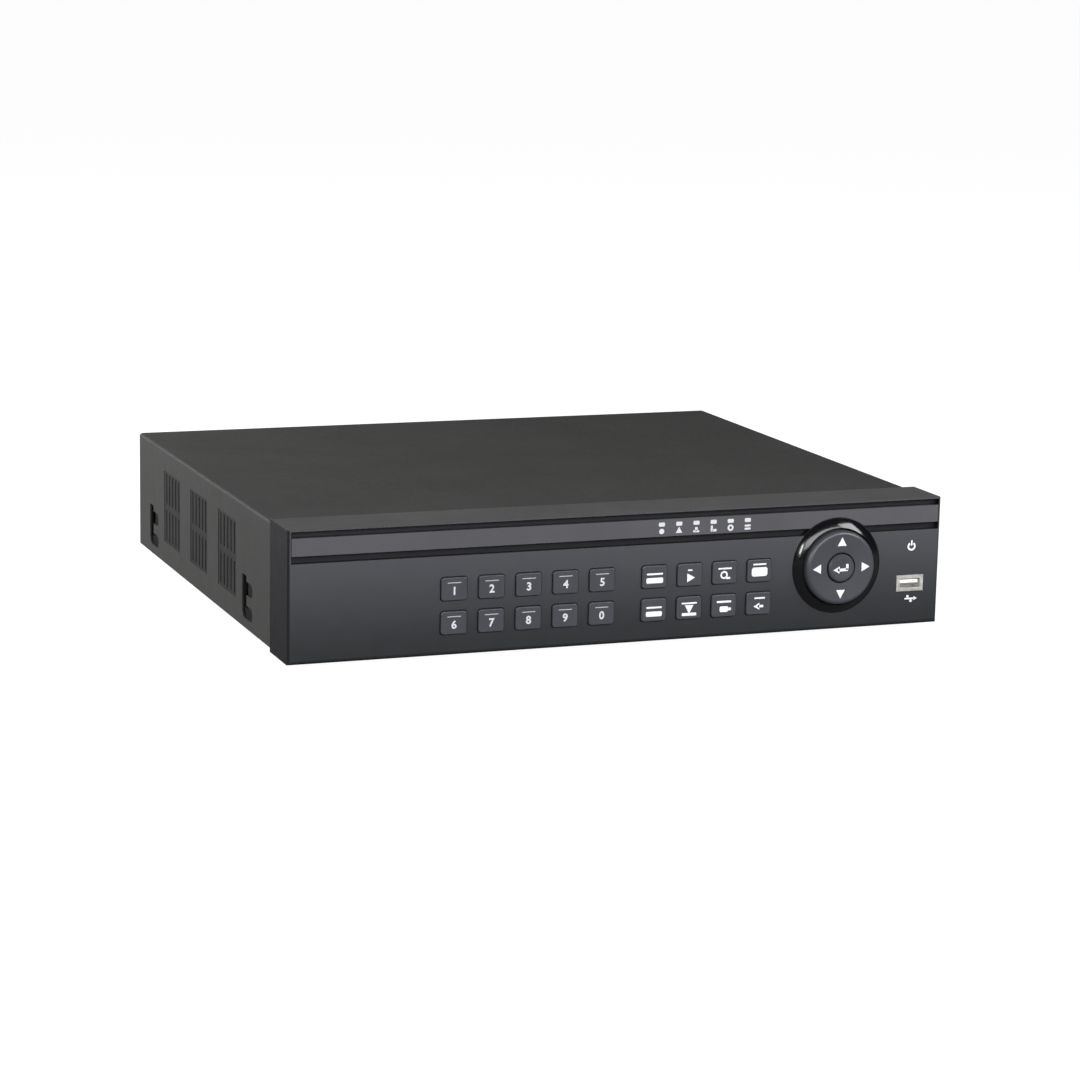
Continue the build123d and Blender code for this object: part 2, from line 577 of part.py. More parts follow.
BOARD_POSTS = MAIN_POSTS + SUPPLY_POSTS
COVER_FIXINGS = [-HALF_CASE + 16.0, -HALF_CASE / 3, HALF_CASE / 3, HALF_CASE - 16.0]
COVER_FIXING_Z = CASE_TOP - COVER_FLANGE / 2 - 1.0
WALL_TOP = CASE_TOP - SHEET - SHEET_GAP
PANEL_FOOT_DEPTHS = (PANEL_FRONT - 10.0, PANEL_FRONT)
EAR_SLOT_RISE = sum(EAR_HOLE_RISES) / 2 + EAR_SLOT_LIFT

with BuildPart() as chassis_base:
    block((-HALF_CHASSIS, HALF_CHASSIS), (CASE_FRONT, PANEL_FRONT), (FOOT_HEIGHT, FLOOR_TOP))
    block((-HALF_CHASSIS, HALF_CHASSIS), (CASE_FRONT, CASE_FRONT + SHEET), (FOOT_HEIGHT, WALL_TOP))
    for side in (-1, 1):
        wall = sorted((side * HALF_CHASSIS, side * (HALF_CHASSIS - SHEET)))
        block(wall, (CASE_FRONT, PANEL_FRONT), (FOOT_HEIGHT, FOOT_HEIGHT + SIDE_RAIL))
        for depth in EAR_HOLE_DEPTHS:
            block(wall, around(depth + 6, EAR_TAB_LENGTH), (FOOT_HEIGHT, FOOT_HEIGHT + EAR_TAB_HEIGHT))
    for x, depth in DRIVE_HOLES:
        post(5.0, x, depth, (FLOOR_TOP, DRIVE_LEVELS[0]))
        post(SCREW_RADIUS + SCREW_HOLE_GAP, x, depth, (FOOT_HEIGHT - 1, DRIVE_LEVELS[0] + 1), Mode.SUBTRACT)
    # Tapped holes for a rack bracket, and the window beside them.
    for depth in EAR_HOLE_DEPTHS:
        for rise in EAR_HOLE_RISES:
            crossbar(EAR_HOLE_RADIUS, (-HALF_CASE, HALF_CASE), depth, BEZEL_BASE + rise, Mode.SUBTRACT)
        window = around(depth + EAR_SLOT_OFFSET, EAR_SLOT_WIDTH - 1)
        rises = around(BEZEL_BASE + EAR_SLOT_RISE + 1, EAR_SLOT_LENGTH - 3)
        block((-HALF_CASE, HALF_CASE), window, rises, Mode.SUBTRACT)
    for x, z in FIXING_PLACES:
        rod(SCREW_RADIUS + SCREW_HOLE_GAP, x, (CASE_FRONT - 1, CASE_FRONT + SHEET + 1), z, Mode.SUBTRACT)
    for x, depth in FOOT_PLACES:
        post(SCREW_RADIUS + SCREW_HOLE_GAP, x, depth, (FOOT_HEIGHT - 1, FLOOR_TOP + 1), Mode.SUBTRACT)
    # Cable window in the front wall.
    window_depths = (CASE_FRONT - 1, CASE_FRONT + SHEET + 1)
    block(around(HEADER_X, 40), window_depths, around(HEADER_Z + 2, 16), Mode.SUBTRACT)
    # Cooling slots under the hard drives.
    with BuildSketch(Plane.XY.offset(FLOOR_TOP)):
        for x in DRIVE_CENTRES:
            with Locations((x, FRONT_Y + sum(DRIVE_DEPTHS) / 2)):
                with GridLocations(0, 12, 1, 6):
                    SlotOverall(52, 4)
    extrude(amount=-SHEET, mode=Mode.SUBTRACT)
save(chassis_base, "chassis_base")

# ---------------------------------------------------------------- top cover
with BuildPart() as top_cover:
    with BuildSketch(face_plane(CASE_DEPTH - SHEET)):
        cover_base = FOOT_HEIGHT + 0.4
        with Locations((0, (cover_base + CASE_TOP) / 2)):
            Rectangle(2 * HALF_CASE, CASE_TOP - cover_base)
    extrude(amount=CASE_DEPTH - SHEET - CASE_FRONT)
    bends = top_cover.edges().filter_by(Axis.Y).group_by(Axis.Z)[-1]
    fillet(bends, COVER_BEND)
    with BuildSketch(face_plane(CASE_DEPTH)):
        with Locations((0, (cover_base + CASE_TOP) / 2 - SHEET)):
            Rectangle(2 * (HALF_CASE - SHEET), CASE_TOP - cover_base)
    extrude(amount=CASE_DEPTH, mode=Mode.SUBTRACT)
    with BuildSketch(face_plane(CASE_DEPTH)):
        with Locations((0, CASE_TOP - COVER_FLANGE / 2)):
            Rectangle(2 * (HALF_CASE - COVER_BEND), COVER_FLANGE)
    extrude(amount=SHEET)
    for x in COVER_FIXINGS:
        rod(SCREW_RADIUS + SCREW_HOLE_GAP, x, (PANEL_BACK - 1, CASE_DEPTH + 1), COVER_FIXING_Z, Mode.SUBTRACT)
    # Shallow vent panels in both sides.
    for side in (-1, 1):
        skin = sorted((side * (HALF_CASE - VENT_RECESS), side * (HALF_CASE + 1)))
        for centre in VENT_CENTRES:
            rises = around(BEZEL_BASE + VENT_RISE, VENT_HEIGHT)
            block(skin, around(centre, VENT_WIDTH), rises, Mode.SUBTRACT)
    # Vent slots and the openings over the rack-bracket holes go through both sides alike.
    with BuildSketch(Plane.YZ.offset(-HALF_CASE - 1)):
        for centre in VENT_CENTRES:
            with Locations((FRONT_Y + centre, BEZEL_BASE + VENT_RISE)):
                with GridLocations(VENT_PITCH, VENT_SLOT_LENGTH + VENT_ROW_GAP, VENT_COLUMNS, 2):
                    Rectangle(VENT_SLOT_WIDTH, VENT_SLOT_LENGTH)
        for depth in EAR_HOLE_DEPTHS:
            with Locations((FRONT_Y + depth + EAR_SLOT_OFFSET, BEZEL_BASE + EAR_SLOT_RISE)):
                RectangleRounded(EAR_SLOT_WIDTH, EAR_SLOT_LENGTH, 1.0)
            for rise in EAR_HOLE_RISES:
                with Locations((FRONT_Y + depth + EAR_SLOT_OFFSET / 2, BEZEL_BASE + rise)):
                    SlotOverall(EAR_SLOT_OFFSET + 2 * EAR_LOBE_RADIUS, 2 * EAR_LOBE_RADIUS)
    extrude(amount=2 * HALF_CASE + 2, mode=Mode.SUBTRACT)
save(top_cover, "top_cover")

# ---------------------------------------------------------------- back panel and what sits in it
BNC_X = [-HALF_CASE + 16.0 + BNC_PITCH * column for column in range(BNC_COLUMNS)]
BNC_PLACES = [(x, BEZEL_BASE + rise) for x in BNC_X for rise in BNC_ROWS]
AUDIO_X = [BNC_X[-1] + 14.5, BNC_X[-1] + 27.5]
AUDIO_PLACES = [(x, BEZEL_BASE + rise) for x in AUDIO_X for rise in AUDIO_ROWS]
VGA_X = AUDIO_X[-1] + 23.0
VGA_Z = BOARD_TOP + 7.2
NETWORK_X = USB_BACK_X + 18.0
NETWORK_SIZE = (16.0, 13.4)
NETWORK_Z = BOARD_TOP + NETWORK_SIZE[1] / 2
TERMINAL_X = NETWORK_X + 27.0
TERMINAL_WAYS = 8
TERMINAL_PITCH = 3.81
TERMINAL_SIZE = (TERMINAL_WAYS * TERMINAL_PITCH + 1.2, 9.5)
TERMINAL_Z = BOARD_TOP + TERMINAL_SIZE[1] / 2
INLET_X = HALF_CASE - 33.0
INLET_Z = BEZEL_BASE + 21.0
INLET_BODY = (27.4, 19.6)
INLET_FLANGE = (49.6, 22.4)
INLET_HOLE_SPACING = 40.0
SWITCH_X = INLET_X
SWITCH_Z = INLET_Z + 24.5
SWITCH_BODY = (19.0, 13.0)
FAN_X = HALF_CASE - 87.0
FAN_Z = BEZEL_BASE + 32.0
FAN_DEPTHS = (PANEL_FRONT - 0.2 - FAN_THICKNESS, PANEL_FRONT - 0.2)

with BuildPart() as rear_panel:
    block((-HALF_CHASSIS + 0.5, HALF_CHASSIS - 0.5), (PANEL_FRONT, PANEL_BACK), (FLOOR_TOP + 0.05, WALL_TOP))
    foot_levels = (FLOOR_TOP + 0.05, FLOOR_TOP + 0.05 + SHEET)
    block((-HALF_CHASSIS + 2, HALF_CHASSIS - 2), PANEL_FOOT_DEPTHS, foot_levels)
    with BuildSketch(face_plane(PANEL_BACK)):
        with Locations(*BNC_PLACES):
            Circle(BNC_RADIUS + PANEL_HOLE_GAP)
        with Locations(*AUDIO_PLACES):
            Circle(AUDIO_RADIUS + PANEL_HOLE_GAP)
        with Locations((VGA_X, VGA_Z)):
            Rectangle(18.2, 10.0)
            with GridLocations(25, 0, 2, 1):
                Circle(2.7)
        with Locations((NETWORK_X, NETWORK_Z)):
            Rectangle(NETWORK_SIZE[0] + 0.6, NETWORK_SIZE[1] + 0.6)
        with Locations((TERMINAL_X, TERMINAL_Z)):
            Rectangle(TERMINAL_SIZE[0] + 0.6, TERMINAL_SIZE[1] + 0.6)
        with Locations((USB_BACK_X, USB_BACK_Z)):
            Rectangle(USB_WIDTH + 2 * USB_LIP + 0.4, USB_HEIGHT + 2 * USB_LIP + 0.4)
        with Locations((INLET_X, INLET_Z)):
            Rectangle(INLET_BODY[0] + 0.4, INLET_BODY[1] + 0.4)
            with GridLocations(INLET_HOLE_SPACING, 0, 2, 1):
                Circle(SCREW_RADIUS + SCREW_PILOT_GAP)
        with Locations((SWITCH_X, SWITCH_Z)):
            Rectangle(SWITCH_BODY[0] + 0.4, SWITCH_BODY[1] + 0.4)
        with Locations((FAN_X, FAN_Z)):
            with GridLocations(FAN_HOLE_SPACING, FAN_HOLE_SPACING, 2, 2):
                Circle(SCREW_RADIUS + SCREW_HOLE_GAP)
            for ring, holes in ((5.4, 6), (10.8, 12), (16.2, 18)):
                with PolarLocations(ring, holes):
                    Circle(1.9)
        for x in COVER_FIXINGS:
            with Locations((x, COVER_FIXING_Z)):
                Circle(SCREW_RADIUS + SCREW_PILOT_GAP)
    extrude(amount=SHEET, mode=Mode.SUBTRACT)
save(rear_panel, "rear_panel")

with BuildPart() as bnc_jacks:
    housing = (PANEL_FRONT - 15.0, PANEL_FRONT - 0.1)
    for x in BNC_X:
        block(around(x, BNC_PITCH - 1), housing, (BOARD_TOP, BEZEL_BASE + BNC_ROWS[1] + 7))
    for x, z in BNC_PLACES:
        end = PANEL_BACK + BNC_LENGTH
        rod(BNC_RADIUS, x, (PANEL_FRONT - 0.5, end), z)
        for side in (-1, 1):
            lug = sorted((x + side * (BNC_RADIUS - 0.4), x + side * (BNC_RADIUS + 0.9)))
            block(lug, (end - 4.2, end - 2.4), around(z, 1.8))
        rod(BNC_BORE, x, (PANEL_BACK + 1, end + 1), z, Mode.SUBTRACT)
save(bnc_jacks, "bnc_jacks")

with BuildPart() as bnc_insulators:
    for x, z in BNC_PLACES:
        rod(2.35, x, (PANEL_BACK + 1, PANEL_BACK + BNC_LENGTH - 2), z)
        rod(0.6, x, (PANEL_BACK + 4, PANEL_BACK + BNC_LENGTH), z, Mode.SUBTRACT)
save(bnc_insulators, "bnc_insulators")

with BuildPart() as audio_jacks:
    housing = (PANEL_FRONT - 12.0, PANEL_FRONT - 0.1)
    for x in AUDIO_X:
        block(around(x, 11.0), housing, (BOARD_TOP, BEZEL_BASE + AUDIO_ROWS[1] + 6))
    for x, z in AUDIO_PLACES:
        rod(AUDIO_RADIUS, x, (PANEL_FRONT - 0.5, PANEL_BACK + AUDIO_LENGTH), z)
        rod(1.7, x, (PANEL_BACK - 2, PANEL_BACK + AUDIO_LENGTH + 1), z, Mode.SUBTRACT)
save(audio_jacks, "audio_jacks")

with BuildPart() as vga_port:
    block(around(VGA_X, 30.8), (PANEL_FRONT - 14.0, PANEL_FRONT - 0.1), around(VGA_Z, 12.4))
    block(around(VGA_X, 28.0), (PANEL_FRONT - 14.0, PANEL_FRONT - 4.0), (BOARD_TOP, VGA_Z))
    with BuildSketch(face_plane(PANEL_BACK + 5.8)):
        with Locations((VGA_X, VGA_Z)):
            Trapezoid(17.0, 8.3, 80)
    extrude(amount=8.0)
    with BuildSketch(face_plane(PANEL_BACK + 5.8)):
        with Locations((VGA_X, VGA_Z)):
            with GridLocations(2.29, 1.98, 5, 3):
                Circle(0.55)
    extrude(amount=4.0, mode=Mode.SUBTRACT)
    with BuildSketch(face_plane(PANEL_BACK + 4.8)):
        with Locations((VGA_X, VGA_Z)):
            with GridLocations(25, 0, 2, 1):
                RegularPolygon(2.5, 6)
                Circle(1.3, mode=Mode.SUBTRACT)
    extrude(amount=6.0)
save(vga_port, "vga_port")

NETWORK_CAVITY = (12.0, 8.4)
NETWORK_LIP = 2.2
NETWORK_REACH = 16.0

with BuildPart() as network_port:
    mouth = PANEL_BACK + 1.0
    block(around(NETWORK_X, NETWORK_SIZE[0]), (mouth - 21.0, mouth), around(NETWORK_Z, NETWORK_SIZE[1]))
    cavity_base = BOARD_TOP + NETWORK_LIP
    cavity_top = cavity_base + NETWORK_CAVITY[1]
    cavity = (mouth - NETWORK_REACH, mouth + 1)
    block(around(NETWORK_X, NETWORK_CAVITY[0]), cavity, (cavity_base, cavity_top), Mode.SUBTRACT)
    # The notch above the cavity takes the plug's latch.
    latch_top = cavity_top + 1.4
    block(around(NETWORK_X, 4.2), (mouth - 6, mouth + 1), (cavity_base, latch_top), Mode.SUBTRACT)
save(network_port, "network_port")

with BuildPart() as terminal_block:
    terminal_face = PANEL_BACK + 4.0
    terminal_depths = (PANEL_BACK - 8.0, terminal_face)
    block(around(TERMINAL_X, TERMINAL_SIZE[0]), terminal_depths, around(TERMINAL_Z, TERMINAL_SIZE[1]))
    with BuildSketch(face_plane(terminal_face)):
        with Locations((TERMINAL_X, TERMINAL_Z - 1.6)):
            with GridLocations(TERMINAL_PITCH, 0, TERMINAL_WAYS, 1):
                Rectangle(2.4, 2.8)
        with Locations((TERMINAL_X, TERMINAL_Z + 2.6)):
            with GridLocations(TERMINAL_PITCH, 0, TERMINAL_WAYS, 1):
                Circle(1.2)
    extrude(amount=4.5, mode=Mode.SUBTRACT)
save(terminal_block, "terminal_block")

INLET_CAVITY = (24.4, 16.6)
INLET_REACH = 16.0
INLET_FACE = PANEL_BACK + 2.6

with BuildPart() as power_inlet:
    inlet_depths = (INLET_FACE - 19.0, PANEL_BACK + 0.5)
    block(around(INLET_X, INLET_BODY[0]), inlet_depths, around(INLET_Z, INLET_BODY[1]))
    with BuildSketch(face_plane(INLET_FACE)):
        with Locations((INLET_X, INLET_Z)):
            RectangleRounded(INLET_FLANGE[0], INLET_FLANGE[1], 4.0)
            with GridLocations(INLET_HOLE_SPACING, 0, 2, 1):
                Circle(SCREW_RADIUS + SCREW_HOLE_GAP, mode=Mode.SUBTRACT)
    extrude(amount=INLET_FACE - PANEL_BACK - 0.05)
    inlet_bottom = INLET_FACE - INLET_REACH
    # The cavity has its two upper corners cut off.
    with BuildSketch(face_plane(INLET_FACE + 1)):
        with Locations((INLET_X, INLET_Z)):
            Rectangle(*INLET_CAVITY)
            with Locations(
                (INLET_CAVITY[0] / 2, INLET_CAVITY[1] / 2), (-INLET_CAVITY[0] / 2, INLET_CAVITY[1] / 2)
            ):
                Rectangle(5.6, 5.6, rotation=45, mode=Mode.SUBTRACT)
    extrude(amount=INLET_REACH + 1, mode=Mode.SUBTRACT)
    for x, z in ((-7.0, -2.0), (0.0, 2.0), (7.0, -2.0)):
        block(around(INLET_X + x, 2.0), (inlet_bottom - 1, INLET_FACE - 3.0), around(INLET_Z + z, 4.0))
    for x in (-7.0, 0.0, 7.0):
        block(around(INLET_X + x, 4.6), (INLET_FACE - 25.0, INLET_FACE - 18.5), around(INLET_Z, 0.8))
save(power_inlet, "power_inlet")

ROCKER_SIZE = (15.0, 9.6)
ROCKER_CAVITY = (16.0, 11.8)
ROCKER_PIVOT = PANEL_BACK - 1.5
ROCKER_THICKNESS = 6.4

with BuildPart() as rocker_housing:
    housing_depths = (PANEL_BACK - 15.0, PANEL_BACK + 0.5)
    block(around(SWITCH_X, SWITCH_BODY[0]), housing_depths, around(SWITCH_Z, SWITCH_BODY[1]))
    with BuildSketch(face_plane(PANEL_BACK + 2.0)):
        with Locations((SWITCH_X, SWITCH_Z)):
            RectangleRounded(SWITCH_BODY[0] + 2.2, SWITCH_BODY[1] + 2.2, 1.2)
    extrude(amount=1.95)
    block(
        around(SWITCH_X, ROCKER_CAVITY[0]),
        (ROCKER_PIVOT - 5.0, PANEL_BACK + 3),
        around(SWITCH_Z, ROCKER_CAVITY[1]),
        Mode.SUBTRACT,
    )
    pin_bore = ROCKER_PIN + GIMBAL_RUNNING_FIT
    crossbar(pin_bore, around(SWITCH_X, ROCKER_CAVITY[0] + 2), ROCKER_PIVOT, SWITCH_Z, Mode.SUBTRACT)
    for x in (-5.0, 5.0):
        block(around(SWITCH_X + x, 4.6), (PANEL_BACK - 22.0, PANEL_BACK - 14.5), around(SWITCH_Z, 0.8))
save(rocker_housing, "rocker_housing")

with BuildPart() as power_rocker:
    # Two flats meet over the pivot, so one end stands out when the other is pressed in.
    with BuildSketch(Plane.YZ.offset(SWITCH_X - ROCKER_SIZE[0] / 2)):
        with Locations(Location((FRONT_Y + ROCKER_PIVOT, SWITCH_Z), ROCKER_TILT)):
            with BuildLine(mode=Mode.PRIVATE) as rocker_side:
                Polyline(
                    (-ROCKER_THICKNESS / 2, -ROCKER_SIZE[1] / 2 + 1.4),
                    (ROCKER_THICKNESS / 2 + 1.1, -ROCKER_SIZE[1] / 2),
                    (ROCKER_THICKNESS / 2 + 0.4, 0),
                    (ROCKER_THICKNESS / 2 + 1.1, ROCKER_SIZE[1] / 2),
                    (-ROCKER_THICKNESS / 2, ROCKER_SIZE[1] / 2 - 1.4),
                    close=True,
                )
            add(make_face(rocker_side.line, mode=Mode.PRIVATE))
    extrude(amount=ROCKER_SIZE[0])
    crossbar(ROCKER_PIN, around(SWITCH_X, ROCKER_CAVITY[0] + 1.6), ROCKER_PIVOT, SWITCH_Z)
save(power_rocker, "power_rocker")

with BuildPart() as fan_frame:
    with BuildSketch(face_plane(FAN_DEPTHS[1])):
        with Locations((FAN_X, FAN_Z)):
            RectangleRounded(FAN_SIDE, FAN_SIDE, 2.5)
            Circle(FAN_BORE, mode=Mode.SUBTRACT)
            with GridLocations(FAN_HOLE_SPACING, FAN_HOLE_SPACING, 2, 2):
                Circle(SCREW_RADIUS + SCREW_HOLE_GAP, mode=Mode.SUBTRACT)
    extrude(amount=FAN_THICKNESS)
    # Four struts on the inner face hold the motor plate and its bearing.
    with BuildSketch(face_plane(FAN_DEPTHS[0] + 1.2)):
        with Locations((FAN_X, FAN_Z)):
            Circle(FAN_HUB)
            Rectangle(2 * FAN_BORE + 1, 2.6)
            Rectangle(2.6, 2 * FAN_BORE + 1)
    extrude(amount=1.2)
    rod(2.2, FAN_X, (FAN_DEPTHS[0] + 1.2, FAN_DEPTHS[0] + 6.0), FAN_Z)
    rod(FAN_SHAFT + FAN_RUNNING_FIT, FAN_X, (FAN_DEPTHS[0] + 1.0, FAN_DEPTHS[0] + 7), FAN_Z, Mode.SUBTRACT)
save(fan_frame, "fan_frame")

ROTOR_DEPTHS = (FAN_DEPTHS[0] + 1.8, FAN_DEPTHS[1] - 0.6)
BLADE_REACH = FAN_BORE - 1.2

with BuildPart() as fan_rotor:
    rod(FAN_HUB, FAN_X, ROTOR_DEPTHS, FAN_Z)
    rod(FAN_HUB - 1.2, FAN_X, (ROTOR_DEPTHS[0] - 1, ROTOR_DEPTHS[1] - 1.2), FAN_Z, Mode.SUBTRACT)
    rod(FAN_SHAFT, FAN_X, (FAN_DEPTHS[0] + 1.4, ROTOR_DEPTHS[1] - 0.4), FAN_Z)
    blade_middle = FRONT_Y + sum(ROTOR_DEPTHS) / 2
    blade_length = BLADE_REACH - FAN_HUB + 0.6
    for turn in range(FAN_BLADES):
        spoke = Location((FAN_X, blade_middle, FAN_Z), (0, turn * 360 / FAN_BLADES, 0))
        with Locations(spoke * Location((FAN_HUB - 0.6 + blade_length / 2, 0, 0), (38, 0, 0))):
            Box(blade_length, 1.0, 8.0)
save(fan_rotor, "fan_rotor")

# ---------------------------------------------------------------- inside the case
with BuildPart() as main_board:
    block(MAIN_BOARD_X, MAIN_BOARD_DEPTHS, (BOARD_LEVEL, BOARD_TOP))
    for x, depth in MAIN_POSTS:
        post(SCREW_RADIUS + SCREW_HOLE_GAP, x, depth, (BOARD_LEVEL - 1, BOARD_TOP + 1), Mode.SUBTRACT)
save(main_board, "main_board")

with BuildPart() as board_standoffs:
    for x, depth in BOARD_POSTS:
        post(STANDOFF_RADIUS, x, depth, (FLOOR_TOP, BOARD_LEVEL))
        post(SCREW_RADIUS + SCREW_PILOT_GAP, x, depth, (FLOOR_TOP + 0.6, BOARD_LEVEL + 1), Mode.SUBTRACT)
save(board_standoffs, "board_standoffs")

PROCESSOR_X = MAIN_BOARD_X[0] + 96.0
PROCESSOR_DEPTH = MAIN_BOARD_DEPTHS[0] + 56.0
PROCESSOR_HEIGHT = 2.6
MEMORY_SIZE = (13.0, 10.0)
DECODER_SIDE = 14.0
DECODER_DEPTH = MAIN_BOARD_DEPTHS[1] - 28.0
SOCKET_DEPTH = MAIN_BOARD_DEPTHS[0] + 18.0
SOCKET_HEIGHT = 8.0
CELL_RADIUS = 10.0
SUPPLY_HEADER_X = MAIN_BOARD_X[1] - 12.0
SUPPLY_HEADER_DEPTH = MAIN_BOARD_DEPTHS[0] + 40.0

with BuildPart() as board_chips:
    block(around(PROCESSOR_X, 31), around(PROCESSOR_DEPTH, 31), (BOARD_TOP, BOARD_TOP + PROCESSOR_HEIGHT))
    for column in range(4):
        memory_x = around(PROCESSOR_X + 38 + column * 17, MEMORY_SIZE[1])
        block(memory_x, around(PROCESSOR_DEPTH, MEMORY_SIZE[0]), (BOARD_TOP, BOARD_TOP + 1.2))
        decoder_x = around(MAIN_BOARD_X[0] + 20 + column * 30, DECODER_SIDE)
        block(decoder_x, around(DECODER_DEPTH, DECODER_SIDE), (BOARD_TOP, BOARD_TOP + 1.4))
    # Drive sockets, front-panel header, supply header and clock cell.
    for x in DRIVE_CENTRES:
        block(around(x, 16), around(SOCKET_DEPTH, 6), (BOARD_TOP, BOARD_TOP + SOCKET_HEIGHT))
    block(around(HEADER_X, HEADER_LENGTH), around(SOCKET_DEPTH, 6), (BOARD_TOP, BOARD_TOP + SOCKET_HEIGHT))
    supply_header = (around(SUPPLY_HEADER_X, 10), around(SUPPLY_HEADER_DEPTH, 16))
    block(*supply_header, (BOARD_TOP, BOARD_TOP + SOCKET_HEIGHT))
    post(CELL_RADIUS, MAIN_BOARD_X[0] + 30, MAIN_BOARD_DEPTHS[0] + 50, (BOARD_TOP, BOARD_TOP + 4.0))
save(board_chips, "board_chips")

SINK_SIDE = 45.0
SINK_BASE = BOARD_TOP + PROCESSOR_HEIGHT

with BuildPart() as heat_sink:
    block(around(PROCESSOR_X, SINK_SIDE), around(PROCESSOR_DEPTH, SINK_SIDE), (SINK_BASE, SINK_BASE + 3))
    with Locations((PROCESSOR_X, FRONT_Y + PROCESSOR_DEPTH, SINK_BASE + 9)):
        with GridLocations(5.2, 0, 9, 1):
            Box(1.4, SINK_SIDE, 13)
save(heat_sink, "heat_sink")

DRIVE_LID = 1.6


def hard_drive(x, name):
    """A hard drive: a cast body with a stepped lid, screw holes underneath and a plug at the back."""
    with BuildPart() as drive:
        block(around(x, DRIVE_WIDTH), DRIVE_DEPTHS, (DRIVE_LEVELS[0], DRIVE_LEVELS[1] - DRIVE_LID))
        lid_depths = (DRIVE_DEPTHS[0] + 2, DRIVE_DEPTHS[1] - 3)
        block(around(x, DRIVE_WIDTH - 4), lid_depths, (DRIVE_LEVELS[1] - DRIVE_LID, DRIVE_LEVELS[1]))
        for hole_x, depth in DRIVE_HOLES:
            if abs(hole_x - x) < DRIVE_WIDTH / 2:
                hole = (DRIVE_LEVELS[0] - 1, DRIVE_LEVELS[0] + 5)
                post(SCREW_RADIUS + SCREW_PILOT_GAP, hole_x, depth, hole, Mode.SUBTRACT)
        notch = (DRIVE_LEVELS[0] - 1, DRIVE_LEVELS[0] + 7)
        block(around(x, 44), (DRIVE_DEPTHS[1] - 5, DRIVE_DEPTHS[1] + 1), notch, Mode.SUBTRACT)
        block(around(x, 34), (DRIVE_DEPTHS[1] - 6, DRIVE_DEPTHS[1] - 1), around(DRIVE_LEVELS[0] + 3.5, 2.4))
    save(drive, name)


hard_drive(DRIVE_CENTRES[0], "hard_drive_left")
hard_drive(DRIVE_CENTRES[1], "hard_drive_right")

with BuildPart() as power_supply_board:
    block(SUPPLY_X, SUPPLY_DEPTHS, (BOARD_LEVEL, BOARD_TOP))
    for x, depth in SUPPLY_POSTS:
        post(SCREW_RADIUS + SCREW_HOLE_GAP, x, depth, (BOARD_LEVEL - 1, BOARD_TOP + 1), Mode.SUBTRACT)
save(power_supply_board, "power_supply_board")

SUPPLY_MIDDLE = sum(SUPPLY_X) / 2

with BuildPart() as power_supply_parts:
    block(around(SUPPLY_MIDDLE - 4, 30), around(SUPPLY_DEPTHS[0] + 52, 26), (BOARD_TOP, BOARD_TOP + 24))
    post(9.0, SUPPLY_MIDDLE - 8, SUPPLY_DEPTHS[0] + 82, (BOARD_TOP, BOARD_TOP + 25))
    for step in range(3):
        post(5.0, SUPPLY_MIDDLE - 12 + step * 12, SUPPLY_DEPTHS[0] + 24, (BOARD_TOP, BOARD_TOP + 18))
    sink_depths = (SUPPLY_DEPTHS[0] + 14, SUPPLY_DEPTHS[0] + 96)
    block(around(SUPPLY_X[1] - 5, 3), sink_depths, (BOARD_TOP, BOARD_TOP + 26))
    block(around(SUPPLY_MIDDLE, 22), around(SUPPLY_DEPTHS[1] - 8, 8), (BOARD_TOP, BOARD_TOP + 10))
    block(around(SUPPLY_MIDDLE - 6, 20), around(SUPPLY_DEPTHS[0] + 7, 6), (BOARD_TOP, BOARD_TOP + 10))
save(power_supply_parts, "power_supply_parts")


def lead(radius, bend, route):
    """A cable swept along straight runs joined by arcs; the route is in (x, depth, z)."""
    points = [(x, FRONT_Y + depth, z) for x, depth, z in route]
    with BuildLine() as path:
        FilletPolyline(*points, radius=bend)
    with BuildSketch(Plane(origin=path.line @ 0, z_dir=path.line % 0)) as section:
        Circle(radius)
    sweep(section.sketch, path=path.line)


LEAD_TOP = DRIVE_LEVELS[1] + 10.0
SOCKET_TOP = BOARD_TOP + SOCKET_HEIGHT

with BuildPart() as sata_cables:
    for x in DRIVE_CENTRES:
        start = DRIVE_DEPTHS[1]
        level = DRIVE_LEVELS[1] - 6
        lead(
            1.8,
            5.0,
            (
                (x + 26, start, level),
                (x + 26, start + 11, level),
                (x + 12, start + 20, level),
                (x, SOCKET_DEPTH, level),
                (x, SOCKET_DEPTH, SOCKET_TOP),
            ),
        )
save(sata_cables, "sata_cables")

with BuildPart() as front_cable:
    lead(
        2.6,
        9.0,
        (
            (HEADER_X, HEADER_BACK, HEADER_Z),
            (HEADER_X, CASE_FRONT + 40, HEADER_Z),
            (HEADER_X, (CASE_FRONT + SOCKET_DEPTH) / 2, LEAD_TOP + 6),
            (HEADER_X, SOCKET_DEPTH, LEAD_TOP),
            (HEADER_X, SOCKET_DEPTH, SOCKET_TOP),
        ),
    )
save(front_cable, "front_cable")

with BuildPart() as supply_leads:
    # Low-voltage lead to the main board, and two mains leads from the inlet by way of the switch.
    lead(
        2.4,
        7.0,
        (
            (SUPPLY_MIDDLE - 6, SUPPLY_DEPTHS[0] + 7, BOARD_TOP + 10),
            (SUPPLY_MIDDLE - 6, SUPPLY_DEPTHS[0] + 7, BOARD_TOP + 34),
            (SUPPLY_HEADER_X, SUPPLY_HEADER_DEPTH, BOARD_TOP + 34),
            (SUPPLY_HEADER_X, SUPPLY_HEADER_DEPTH, SOCKET_TOP),
        ),
    )
    for x in (-5.0, 5.0):
        lead(
            1.5,
            4.0,
            (
                (SWITCH_X + x, PANEL_BACK - 22, SWITCH_Z),
                (SWITCH_X + x, PANEL_BACK - 31.5, SWITCH_Z),
                (SWITCH_X + x, PANEL_BACK - 31.5, BOARD_TOP + 10),
            ),
        )
save(supply_leads, "supply_leads")

